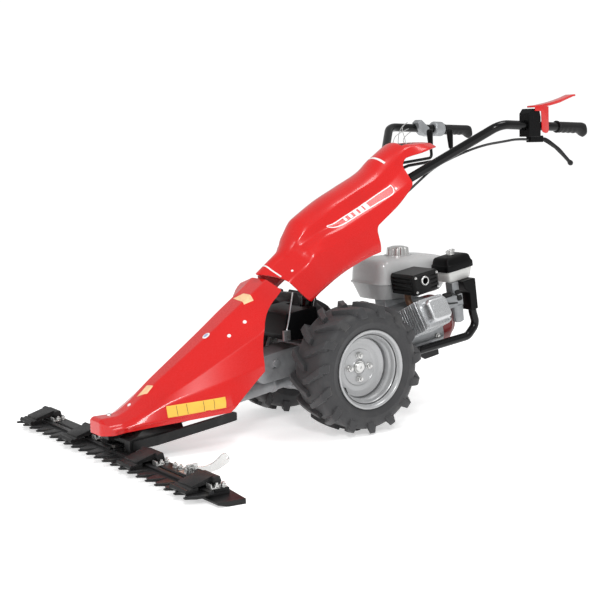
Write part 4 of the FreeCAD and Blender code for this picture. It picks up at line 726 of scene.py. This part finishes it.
def bolt_head(width, height, shank=0.0, washer=0.0):
    """Hexagon head on its washer, with its underside at the origin and facing along z."""
    bm = bmesh.new()
    lift = 0.0014 if washer else 0.0
    corner = width / 1.732
    if washer:
        bmesh.ops.create_cone(bm, **cylinder(washer, washer, lift, 24, lift / 2))
    bmesh.ops.create_cone(bm, **cylinder(corner, corner, height, 6, lift + height / 2))
    round_edges(bm, turned_edges(bm, 0.5), min(0.0006, height * 0.15))
    if shank:
        bmesh.ops.create_cone(bm, **cylinder(shank, shank * 0.85, 0.006, 16, lift + height + 0.002))
    return bm


def facing(spot, direction):
    """Placement at a point with the piece's own z along a direction."""
    return Matrix.Translation(spot) @ Vector(direction).to_track_quat("Z", "Y").to_matrix().to_4x4()


def wheel_hub(hand, side):
    """Hub flange, the end of the half shaft, and the studs with their nuts."""
    bm = spun([(0, -88), (15, -88), (15, -86), (27, -86), (27, DISC_Y - 14), (52, DISC_Y - 13),
               (52, DISC_Y - 6), (20, DISC_Y - 5), (19, DISC_Y + 1), (16, DISC_Y + 1), (15.5, DISC_Y + 6),
               (14, DISC_Y + 7.5), (4, DISC_Y + 7.5), (3, DISC_Y + 5), (0, DISC_Y + 5)], 48)
    for i in range(STUD_COUNT):
        spot = turn(360 * i / STUD_COUNT, "Z") @ shift(0, STUD_CIRCLE, (DISC_Y - 1.8) / 1000)
        join(bm, moved(bolt_head(*WHEEL_NUT), spot))
    place(hand + "_wheel_hub", moved(bm, wheel_frame(side)), "zinc", 35, hand + "_wheel", [hand + "_hub"])


def valve_stem(hand, side):
    """Rubber valve that stands on the rim beside the disc."""
    spot = turn(VALVE_TURN, "Z") @ shift(0, VALVE_RADIUS, (DISC_Y + 4) / 1000) @ turn(VALVE_TILT, "X")
    bm = spun(rounded_profile(VALVE_PROFILE, 0.8), 20)
    place(hand + "_valve", moved(bm, wheel_frame(side) @ spot), "rubber", 50, hand + "_wheel")


for hand, side in SIDES:
    tyre(hand, side)
    pressed_rim(hand, side)
    wheel_hub(hand, side)
    valve_stem(hand, side)


# ---------------------------------------------------------------- films, studs and beads on the red panels
SKINS = {}
BEHIND = 400                   # rays start this far beside the machine
STRIP = [(598, 116), (433, 129), (432, 160), (597, 148)]
STRIP_LINES = (0.17, 0.34, 0.62, 0.80)
CAPSULE = [(2, 617), (-22, 624), (-58, 641), (-116, 668), (-176, 697), (-232, 724), (-243, 730), (-245, 717),
           (-234, 703), (-188, 683), (-110, 649), (-50, 622), (-16, 613)]
COVER_BEAD = [(742, 92), (700, 98), (650, 105), (580, 112), (510, 118), (440, 124), (410, 134)]
HOOD_BEAD = [(56, -126), (100, -123), (150, -122.5), (190, -124.5), (230, -129.5), (268, -136.5),
             (310, -146.5), (340, -155)]


def bent_route(points, radius):
    """Points of a tube's route whose corners are replaced by arcs of the given radius."""
    route = [points[0]]
    for before, corner, after in zip(points, points[1:], points[2:]):
        back, ahead = (before - corner).normalized(), (after - corner).normalized()
        half = back.angle(ahead) / 2
        shorter = min((before - corner).length, (after - corner).length)
        bend = min(radius, 0.95 * math.tan(half) * shorter * 0.5)
        middle = corner + (back + ahead).normalized() * (bend / math.sin(half))
        spoke = corner + back * (bend / math.tan(half)) - middle
        swing = math.pi - 2 * half
        steps = max(2, round(math.degrees(swing) / 6))
        route += [middle + spoke * math.cos(swing * i / steps) - back * (bend * math.sin(swing * i / steps))
                  for i in range(steps + 1)]
    return route + [points[-1]]


def tube_mesh(points, bend, radius, resolution=6):
    """Round tube along a bent route, closed at its ends."""
    curve = bpy.data.curves.new("tube", "CURVE")
    curve.dimensions = "3D"
    route = bent_route([Vector(point) for point in points], bend)
    line = curve.splines.new("POLY")
    line.points.add(len(route) - 1)
    for knot, spot in zip(line.points, route):
        knot.co = (*spot, 1)
    curve.bevel_depth = radius
    curve.bevel_resolution = resolution
    curve.use_fill_caps = True
    holder = bpy.data.objects.new("tube", curve)
    mesh = bpy.data.meshes.new_from_object(holder)
    bm = bmesh.new()
    bm.from_mesh(mesh)
    bmesh.ops.remove_doubles(bm, verts=bm.verts, dist=1e-5)
    bpy.data.objects.remove(holder)
    bpy.data.curves.remove(curve)
    bpy.data.meshes.remove(mesh)
    return bm


def skin_of(piece_name):
    """The finished surface of a piece, for laying things on."""
    if piece_name not in SKINS:
        graph = bpy.context.evaluated_depsgraph_get()
        bm = bmesh.new()
        bm.from_mesh(bpy.data.objects[piece_name].evaluated_get(graph).to_mesh())
        SKINS[piece_name] = BVHTree.FromBMesh(bm)
        bm.free()
    return SKINS[piece_name]


def from_side(x, z, side):
    """Level ray from the left (1) or the right (-1) through x and z."""
    return at(x, BEHIND * side, z), Vector((0, -side, 0))


def from_outside(spot):
    """Ray to a place on the side or the top of a panel, from above and from its own side."""
    back = Vector((0, math.copysign(0.06, spot.y), 0.06))
    return spot + back, -back.normalized()


def from_above(s, y):
    """Ray square on the hood's slope, at a place along and across it."""
    start = hood_at(s, y, 200)
    return start, (hood_at(s, y, 0) - start).normalized()


def inside(corners, u, v):
    """Place in a four-cornered field, by its shares along and across."""
    a, b, c, d = (Vector(corner) for corner in corners)
    return (a * (1 - u) + b * u) * (1 - v) + (d * (1 - u) + c * u) * v


def film(name, skin_name, ray, steps, mat, lift, outward, angle=60):
    """Thin blank film on a panel: ray says from where and which way each place of its grid is laid."""
    bm = bmesh.new()
    bmesh.ops.create_grid(bm, x_segments=steps[0], y_segments=steps[1], size=1.0)
    for vert in bm.verts:
        spot, normal = skin_of(skin_name).ray_cast(*ray((vert.co.x + 1) / 2, (vert.co.y + 1) / 2))[:2]
        vert.co = spot + normal * lift
    bmesh.ops.remove_doubles(bm, verts=bm.verts, dist=1e-5)
    piece = place(name, bm, mat, angle, outward=outward)
    modify(piece, "SOLIDIFY", thickness=lift, offset=-1.0)


def painted_line(name, skin_name, route, width, mat, lift, side, closed=False):
    """Thin painted line along points given as x and z, on the side of a panel."""
    count = len(route)
    last = count if closed else count - 1

    def ray(u, v):
        i = round(u * last)
        here = Vector(route[i % count])
        before = Vector(route[(i - 1) % count] if closed else route[max(i - 1, 0)])
        after = Vector(route[(i + 1) % count] if closed else route[min(i + 1, last)])
        along = (after - before).normalized()
        x, z = here + Vector((-along.y, along.x)) * (width * (v - 0.5))
        return from_side(x, z, side)

    film(name, skin_name, ray, (last, 1), mat, lift, (0, side, 0), None)


def smooth_route(points, steps=6, closed=False):
    """Points along a smooth line through the given ones."""
    points = [Vector(point) for point in points]
    count = len(points)
    result = []
    for i in range(count if closed else count - 1):
        near = [(i + k) % count if closed else min(max(i + k, 0), count - 1) for k in (-1, 0, 1, 2)]
        a, b, c, d = (points[k] for k in near)
        for step in range(steps):
            t = step / steps
            result.append(tuple(0.5 * (2 * b + (c - a) * t + (2 * a - 5 * b + 4 * c - d) * t * t
                                       + (3 * b - a - 3 * c + d) * t ** 3)))
    return result if closed else result + [tuple(points[-1])]


def bead(name, skin_name, route, radius, side):
    """Raised bead pressed along a panel, through points given as x and z."""
    spots = [skin_of(skin_name).ray_cast(*from_side(x, z, side))[0] for x, z in smooth_route(route)]
    place(name, tube_mesh([spot for spot in spots if spot], 0.0, radius, 3), "red_panel", 60)


def stud_on(name, skin_name, spot, radius, height, mat):
    """Domed round fastener or dot set square on a panel, at the place nearest to the given one."""
    spot, normal = skin_of(skin_name).ray_cast(*from_outside(at(*spot)))[:2]
    dome = [(0, height), (radius * 0.75, height * 0.85), (radius, 0.2), (radius, -1.5), (0, -1.5)]
    place(name, moved(spun(rounded_profile(dome, 0.8), 24), facing(spot, normal)), mat, 50)


def plate_on_cover(name, corners):
    """Blank four-cornered film on the cover's top."""
    spots = [at(*corner) for corner in corners]
    film(name, "cover_panels", lambda u, v: from_outside(inside(spots, u, v)), (12, 12), "orange_label",
         0.0006, UP)


def top_stripe(name, start, end, half):
    """Painted stripe across the hood's top, between two places along its slope."""
    film(name, "hood_skin", lambda u, v: from_above(start + (end - start) * v, (2 * u - 1) * half), (24, 2),
         "white_print", 0.0004, UP)


def side_marks(hand, side):
    """Blank strip, capsule with its bars and dot, clips and beads on one side of the cover and the hood."""
    def patch(name, skin_name, corners, steps, mat, lift):
        film(hand + name, skin_name, lambda u, v: from_side(*inside(corners, u, v), side), steps, mat, lift,
             (0, side, 0))

    patch("_yellow_strip", "cover_panels", STRIP, (60, 12), "yellow_label", 0.0006)
    for i, share in enumerate(STRIP_LINES):
        x, low, high = 598 - 165 * share, 118 + 13 * share, 146 + 12 * share
        painted_line("%s_strip_line_%d" % (hand, i), "cover_panels",
                     [(x, low + (high - low) * step / 8) for step in range(9)], 1.2, "dark_print", 0.0009,
                     side)
    painted_line(hand + "_capsule_line", "hood_skin", smooth_route(CAPSULE, 5, True), 2.6, "white_print",
                 0.0005, side, True)
    for i in range(5):
        x, z, half = -61 - 19.5 * i, 635 + 9.3 * i, 4.6 + 0.9 * i
        corners = [(x + (0.436 * b - 0.9 * a) * half, z + (0.436 * a + 0.9 * b) * half)
                   for a, b in ((-1, -1), (1, -1), (1, 1), (-1, 1))]
        patch("_capsule_bar_%d" % i, "hood_skin", corners, (8, 8), "white_print", 0.0005)
    stud_on(hand + "_capsule_dot", "hood_skin", (-254, 93 * side, 722), 4.2, 0.6, "white_print")
    stud_on(hand + "_front_dot", "hood_skin", (139, 74 * side, 493), 4.0, 0.6, "white_print")
    for i, (x, y, z) in enumerate(((316, 77, 356), (370, 74, 320))):
        stud_on("%s_cover_clip_%d" % (hand, i), "cover_panels", (x, y * side, z), 6.0, 2.6, "white_print")
    bead(hand + "_cover_bead", "cover_panels", COVER_BEAD, 0.0013, side)
    bead(hand + "_hood_bead", "hood_skin", [on_slope(*stop) for stop in HOOD_BEAD], 0.0012, side)


plate_on_cover("pale_plate", [(605, -5, 196), (600, 26, 197), (622, 30, 179), (640, -1, 167)])
for hand, side in SIDES:
    side_marks(hand, side)
plate_on_cover("cover_plate", [(290, -28, 416), (268, -3, 431), (268, 62, 420), (296, 45, 403)])
for name, spot, radius, height, mat in (
        ("nose_clip", (667, 7, 153), 6.0, 2.6, "white_print"),
        ("cover_oval_rim", (420, 27, 322), 12.5, 1.1, "white_print"),
        ("cover_oval", (420, 27, 322), 9.5, 1.6, "pale_blue_print"),
        ("nose_bolt", (728, -6, 126), 8.0, 5.0, "zinc")):
    stud_on(name, "cover_panels", spot, radius, height, mat)
top_stripe("front_stripe", 30, 35, 62)
top_stripe("rear_stripe", 553, 561, 48)


# ---------------------------------------------------------------- tubes and levers
# The engine's own places are given with its crankshaft level; its drive slopes down to the front.
ENGINE_FACE = Vector((-0.232, 0, 0.230))
DRIVE_SLOPE = math.atan2(71, 465)
ENGINE = (Matrix.Translation(Vector((AXLE_X, 0, 0)) + ENGINE_FACE) @ Matrix.Rotation(DRIVE_SLOPE, 4, "Y")
          @ Matrix.Translation(-ENGINE_FACE))
ENGINE_LEFT = ENGINE.to_3x3() @ Vector((0, 1, 0))
CYLINDER_TILT = 25
CYLINDER = ENGINE @ shift(-0.335, 0, 0.230) @ turn(CYLINDER_TILT - 90, "X")

BAR_RADIUS, BAR_BEND = 0.0145, 0.062
BAR_ROUTE = [(-300, 48, 728), (-528, 277, 911), (-895, 277, 892)]
COLUMN_ROUTE = [(46, 0, 303), (34, 0, 400), (-294, 0, 720)]
GUARD_ROUTE = [(-312, 110, 182), (-324, 110, 182), (-528, 110, 173), (-571, 110, 204), (-563, 110, 246),
               (-563, 110, 256)]
GEAR_ROUTE = [(-300, 44, 755), (-300, 44, 774), (-340, 50, 788), (-525, 50, 806), (-522, 50, 838)]
PORT_OUT, PORT_SIDE, PORT_STUB = 120, 48, 24   # the exhaust port, as seen along the tilted cylinder
GRIP_END, GRIP_HEIGHT, GRIP_RISE = -897, 892, 19 / 369


def on_engine(x, y, z):
    """Place given on the engine while its crankshaft is level, in millimetres."""
    return ENGINE @ Vector((x / 1000, y / 1000, z / 1000))


def tube(name, points, bend, radius, mat, stands_for, resolution=6):
    """Tube piece in place of a node of the frame."""
    place(name, tube_mesh(points, bend, radius, resolution), mat, 50, stands_for=[stands_for])


def frame_tubes():
    """Handlebar tubes, column, guard rail, gear lever rods and the exhaust's elbow."""
    for hand, side in SIDES:
        tube(hand + "_bar_tube", [at(x, y * side, z) for x, y, z in BAR_ROUTE], BAR_BEND, BAR_RADIUS,
             "black_gloss", hand + "_handlebar", 8)
    tube("column_tube", [at(*spot) for spot in COLUMN_ROUTE], 0.090, 0.021, "black_gloss", "column", 8)
    tube("guard_rail", [on_engine(*spot) for spot in GUARD_ROUTE], 0.034, 0.0138, "black_gloss",
         "guard_tube", 8)
    rods = bmesh.new()
    for _, side in SIDES:
        join(rods, tube_mesh([at(x, y * side, z) for x, y, z in GEAR_ROUTE], 0.012, 0.005))
    place("gear_lever_rods", rods, "black_gloss", 50, stands_for=["gear_levers"])
    tilt = math.radians(CYLINDER_TILT)
    lead = Vector((0, -math.sin(tilt), math.cos(tilt)))
    port = Vector((-326, PORT_OUT * math.cos(tilt), 230 + PORT_OUT * math.sin(tilt))) + lead * PORT_SIDE
    bend = port + lead * PORT_STUB
    tube("exhaust_elbow", [on_engine(*port), on_engine(*bend), on_engine(bend.x, bend.y, 368)], 0.018, 0.011,
         "brown_steel", "exhaust_pipe")


def bar_plate(outline, y0, y1, edge):
    """Plate between two distances to the left; its outline is ahead of the left grip's end and above it."""
    spots = [at(GRIP_END + ahead, y0, GRIP_HEIGHT + GRIP_RISE * ahead + lift) for ahead, lift in outline]
    bm = extruded(spots, (0, (y1 - y0) / 1000, 0))
    round_edges(bm, turned_edges(bm, math.radians(28)), edge)
    return bm


def dead_man_lever():
    """Red lever: a broad upright strip beside the housing and a long blade that rises to the rear."""
    bm = bar_plate([(243, 46), (243, 62.4), (184, 62.4), (183, -14), (188, -21), (196, -23), (208, -20),
                    (213, -12), (216, 46)], 300.4, 304, 0.0009)
    join(bm, bar_plate([(245, 56.6), (245, 62.4), (216, 66.0), (191, 71.2), (172, 75.0), (155, 79),
                        (130, 85.6), (107, 92.5), (88, 99.2), (71, 105.3), (61, 105.9), (61, 100.1),
                        (71, 98.6), (88, 92.4), (107, 85.7), (130, 76.9), (155, 70.2), (172, 66.2),
                        (191, 62.4)], 268.2, 303.8, 0.0012))
    place("dead_man_lever", bm, "red_paint", 35, stands_for=["stop_lever"])


# ---------------------------------------------------------------- cable and wires
CABLE_ROUTE = [(-300, 74, 696), (-350, 92, 740), (-400, 106, 781), (-448, 162, 818), (-500, 226, 848),
               (-556, 269, 858), (-600, 277, 864), (-650, 277, 861)]
WIRE_ROUTES = [[(-352, -14, 848), (-372, -40, 868), (-470, -150, 902), (-560, -238, 917)],
               [(-366, 10, 848), (-392, -30, 880), (-500, -180, 912), (-585, -246, 926)],
               [(-340, -30, 848), (-398, -96, 872), (-500, -196, 888), (-592, -250, 904)],
               [(-378, 20, 848), (-420, -60, 850), (-520, -200, 872), (-600, -248, 892)]]
WIRE_EYES = [(-340, -30, 846), (-352, -14, 846), (-366, 10, 846), (-378, 20, 846)]


def spline_piece(name, routes, radius, resolution, mat):
    """Round cable or wires, each along the smooth spline of its route's points."""
    curve = bpy.data.curves.new(name, "CURVE")
    curve.dimensions = "3D"
    for stops in routes:
        line = curve.splines.new("NURBS")
        line.points.add(len(stops) - 1)
        for knot, stop in zip(line.points, stops):
            knot.co = (*at(*stop), 1)
        line.order_u = 3
        line.use_endpoint_u = True
    curve.bevel_depth = radius
    curve.bevel_resolution = resolution
    curve.resolution_u = 8
    curve.use_fill_caps = True
    curve.materials.append(MATERIALS[mat])
    piece = bpy.data.objects.new(name, curve)
    bpy.context.scene.collection.objects.link(piece)
    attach(piece, "frame")
    return piece


def bolt_at(name, spot, direction, width=0.013, height=0.007, shank=0.0, washer=0.009):
    """Hexagon bolt that stands on a place."""
    place(name, moved(bolt_head(width, height, shank, washer), facing(spot, direction)), "zinc", 30)


def control_wires():
    """Thin bright wires from their eyes on the console to the levers on the right tube."""
    spline_piece("control_wires", WIRE_ROUTES, 0.0013, 2, "zinc")
    for i, spot in enumerate(WIRE_EYES):
        bolt_at("console_eye_%d" % i, at(*spot), UP, 0.008, 0.008, 0.002, 0.006)


# ---------------------------------------------------------------- engine details
def rounded_block(size, corner, edge, steps=4):
    """Block on the origin's plane with rounded upright corners and a softer rounding round its top."""
    bm = bmesh.new()
    bmesh.ops.create_cube(bm, size=1.0)
    moved(bm, Matrix.Diagonal((*size, 1)) @ shift(0, 0, 0.5))
    height = size[2]
    upright = [e for e in bm.edges if abs(e.verts[0].co.z - e.verts[1].co.z) > 0.5 * height]
    round_edges(bm, upright, corner, steps)
    top = [e for e in turned_edges(bm, 0.5) if min(vert.co.z for vert in e.verts) > 0.9 * height]
    round_edges(bm, top, edge, steps)
    return bm


def head_cover():
    """Pressed valve cover: a flange with four bolts and a domed middle with a raised blank field."""
    bm = moved(rounded_block((0.099, 0.095, 0.005), 0.009, 0.001), shift(0, 0, 0.205))
    join(bm, moved(rounded_block((0.080, 0.074, 0.036), 0.017, 0.011, 6), shift(0, 0, 0.2095)))
    join(bm, moved(rounded_block((0.050, 0.030, 0.002), 0.006, 0.0009), shift(0, 0, 0.2448)))
    for x in (-0.0425, 0.0425):
        for y in (-0.0405, 0.0405):
            join(bm, moved(bolt_head(0.009, 0.005, 0, 0.0065), shift(x, y, 0.2099)))
    place("head_cover", moved(bm, CYLINDER), "bright", 30, stands_for=["valve_cover"])


def filler_cap():
    """Fuel cap with finger hollows round its rim."""
    bm = bmesh.new()
    bmesh.ops.create_cone(bm, **cylinder(0.0385, 0.036, 0.026, 96, 0.019))
    for vert in bm.verts:
        hollow = 0.0028 * max(0.0, math.cos(12 * math.atan2(vert.co.y, vert.co.x))) ** 0.6
        vert.co.xy *= 1 - hollow / 0.038
    round_edges(bm, [e for e in turned_edges(bm, 0.5) if min(vert.co.z for vert in e.verts) > 0.03], 0.004, 3)
    join(bm, spun(rounded_profile([(0, 0), (41.5, 0), (41.5, 5), (38, 7.5), (0, 7.5)], 1.5), 64))
    join(bm, spun(rounded_profile([(0, 36), (20, 35.5), (27, 33), (28, 31), (0, 31)], 2.0), 64))
    low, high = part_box("fuel_cap")
    spot = shift((low[0] + high[0]) / 2, (low[1] + high[1]) / 2, low[2])
    place("filler_cap", moved(bm, spot), "zinc", 40, stands_for=["fuel_cap"])


def wing_nut():
    """Stud, dished washer and two-winged nut on top of the air cleaner."""
    profile = [(0, 0), (13, 0), (13, 1.5), (8, 3), (7, 11), (3, 12), (3, 18), (0, 18)]
    bm = spun(rounded_profile(profile, 1.0), 24)
    for side in (1, -1):
        wing = rounded_block((0.013, 0.003, 0.013), 0.001, 0.0012, 2)
        join(bm, moved(wing, shift(0.010 * side, 0, 0.004) @ Matrix.Rotation(0.35 * side, 4, "Y")))
    place("wing_nut", moved(bm, ENGINE @ shift(-0.542, 0.061, 0.4445)), "zinc", 40)


def outlet_ring():
    """Rolled bright ring round the muffler's outlet, with the screws of its guard."""
    profile = [(9.5, 0), (15.5, 0), (16, 3), (14, 5.5), (11, 6), (9.5, 3)]
    bm = spun(rounded_profile(profile, 1.5, True), 40, True)
    place("outlet_ring", moved(bm, ENGINE @ shift(-0.355, 0.1372, 0.408) @ turn(-90, "X")), "zinc", 50)
    for i, (x, z) in enumerate(((-408, 424), (-320, 424), (-320, 377), (-408, 377))):
        bolt_at("muffler_screw_%d" % i, on_engine(x, 137.0, z), ENGINE_LEFT, 0.006, 0.003, 0, 0.0042)


def linkage():
    """Governor rods, return spring and the choke's lever beside the carburettor."""
    bm = bmesh.new()
    for stops in (((-500, 132, 318), (-470, 134, 334), (-432, 128, 338)),
                  ((-486, 130, 300), (-450, 133, 306), (-424, 128, 322))):
        join(bm, tube_mesh([on_engine(*stop) for stop in stops], 0.01, 0.0022))
    join(bm, moved(rounded_block((0.020, 0.036, 0.004), 0.006, 0.001),
                   ENGINE @ shift(-0.498, 0.124, 0.322) @ turn(-70, "X")))
    join(bm, moved(rounded_block((0.034, 0.014, 0.014), 0.004, 0.002), ENGINE @ shift(-0.456, 0.118, 0.326)))
    place("governor_linkage", bm, "black_satin", 40)


frame_tubes()
dead_man_lever()
control_wires()
head_cover()
filler_cap()
wing_nut()
outlet_ring()
linkage()
for i, spot in enumerate(((-258, 86, 190), (-300, 88, 262), (-420, 88, 200))):
    bolt_at("crankcase_bolt_%d" % i, on_engine(*spot), ENGINE_LEFT, 0.012, 0.006)


# ---------------------------------------------------------------- fasteners of the cutter bar
HOLDERS_Y = (-485, -188, 188, 485)
HOLDER_BOLTS = ((684, 57), (684, -57), (704, 64))   # x, and the step from the middle of a holder
CLIP_X, CLIP_STEP = 716, 62
LAST_BOLT_Y, LAST_CLIP_Y = 540, 532
LOOSE_BOLTS_X = 688
LOOSE_BOLTS_Y = (-120, -86, 86, 120, 300, 330, 528)
BEAM_TOP = 32.0
BEAM_BOLT = (0.013, 0.007, 0.004, 0.009)


def bar_fasteners():
    """Bright bolts and tapped clips beside each knife holder, and the bolts along the beam."""
    number = 0
    for y in HOLDERS_Y:
        for x, step in HOLDER_BOLTS:
            spot = at(x, min(y + step, LAST_BOLT_Y), BEAM_TOP)
            bolt_at("beam_bolt_%d" % number, spot, UP, *BEAM_BOLT)
            number += 1
        clip = rounded_block((0.012, 0.030, 0.003), 0.002, 0.0006, 2)
        join(clip, moved(rounded_block((0.003, 0.026, 0.012), 0.001, 0.0006, 2), shift(0.006, 0, 0)))
        spot = Matrix.Translation(at(CLIP_X, min(y + CLIP_STEP, LAST_CLIP_Y), BEAM_TOP))
        place("holder_clip_%d" % number, moved(clip, spot), "zinc", 30)
    for y in LOOSE_BOLTS_Y:
        bolt_at("beam_bolt_%d" % number, at(LOOSE_BOLTS_X, y, BEAM_TOP), UP, *BEAM_BOLT)
        number += 1
    bolt_at("swath_bolt", at(692, 372, BEAM_TOP + 4), UP, 0.016, 0.010, 0.005, 0.012)
    bolt_at("swath_pivot", at(690, 405.5, 50), (0, 1, 0), 0.012, 0.006, 0.003, 0.008)


bar_fasteners()
cable = spline_piece("clutch_cable_run", [CABLE_ROUTE], 0.004, 4, "cable_sheath")
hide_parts("clutch_cable")


# ---------------------------------------------------------------- studio and camera
FLOOR_RADIUS = 30.0
FLOOR_GLOW = 0.5
SKY_ON_MACHINE, SKY_TO_CAMERA = 0.60, 1.05
# Each lamp's place and aim in metres, the width of its square and its power.
LAMPS = {
    "key": ((2.0, 3.1, 2.9), (0, 0, 0.4), 0.8, 60),
    "front": ((3.4, 0.2, 1.8), (0.3, 0, 0.3), 1.2, 22),
    "top": ((-0.8, 0.9, 3.4), (-0.2, 0, 0.4), 1.2, 34),
}
EYE = (2248.5, 3168.7, 922.7)
HEADING, FALL, LEAN = math.radians(34.6), math.radians(7.9), math.radians(-1.6)
LENS = 75.09


def studio():
    """Pale floor, even light from all round and three soft lamps."""
    bm = bmesh.new()
    bmesh.ops.create_circle(bm, cap_ends=True, segments=96, radius=FLOOR_RADIUS)
    mesh = bpy.data.meshes.new("floor")
    bm.to_mesh(mesh)
    bm.free()
    shader = MATERIALS["floor"].node_tree.nodes["Principled BSDF"]
    shader.inputs["Emission Color"].default_value = (1, 1, 1, 1)
    shader.inputs["Emission Strength"].default_value = FLOOR_GLOW
    mesh.materials.append(MATERIALS["floor"])
    floor = bpy.data.objects.new("floor", mesh)
    bpy.context.scene.collection.objects.link(floor)
    world = bpy.data.worlds.new("studio")
    bpy.context.scene.world = world
    world.use_nodes = True
    tree = world.node_tree
    sky = tree.nodes["Background"]
    sky.inputs["Color"].default_value = (1, 1, 1, 1)
    seen = add_node(tree, "LightPath").outputs["Is Camera Ray"]
    tree.links.new(ramp(tree, seen, SKY_ON_MACHINE, SKY_TO_CAMERA, 0.0, 1.0), sky.inputs["Strength"])
    for name, (spot, aim, size, power) in LAMPS.items():
        light = bpy.data.lights.new(name, "AREA")
        light.size = size
        light.energy = power
        lamp = bpy.data.objects.new(name, light)
        bpy.context.scene.collection.objects.link(lamp)
        lamp.location = spot
        lamp.rotation_euler = (Vector(aim) - Vector(spot)).to_track_quat("-Z", "Y").to_euler()
    bpy.context.scene.view_settings.view_transform = "Standard"


def camera():
    """Camera from the machine's front left, a little above it and turned slightly about its own axis."""
    right = Vector((-math.cos(HEADING), math.sin(HEADING), 0))
    ahead = Vector((-math.sin(HEADING) * math.cos(FALL), -math.cos(HEADING) * math.cos(FALL),
                    -math.sin(FALL)))
    up = right.cross(ahead)
    side = math.cos(LEAN) * right + math.sin(LEAN) * up
    top = -math.sin(LEAN) * right + math.cos(LEAN) * up
    lens = bpy.data.cameras.new("camera")
    lens.lens = LENS
    lens.sensor_width = 36.0
    eye = bpy.data.objects.new("camera", lens)
    bpy.context.scene.collection.objects.link(eye)
    eye.matrix_world = Matrix.Translation(at(*EYE)) @ Matrix((side, top, -ahead)).transposed().to_4x4()
    bpy.context.scene.camera = eye


studio()
camera()
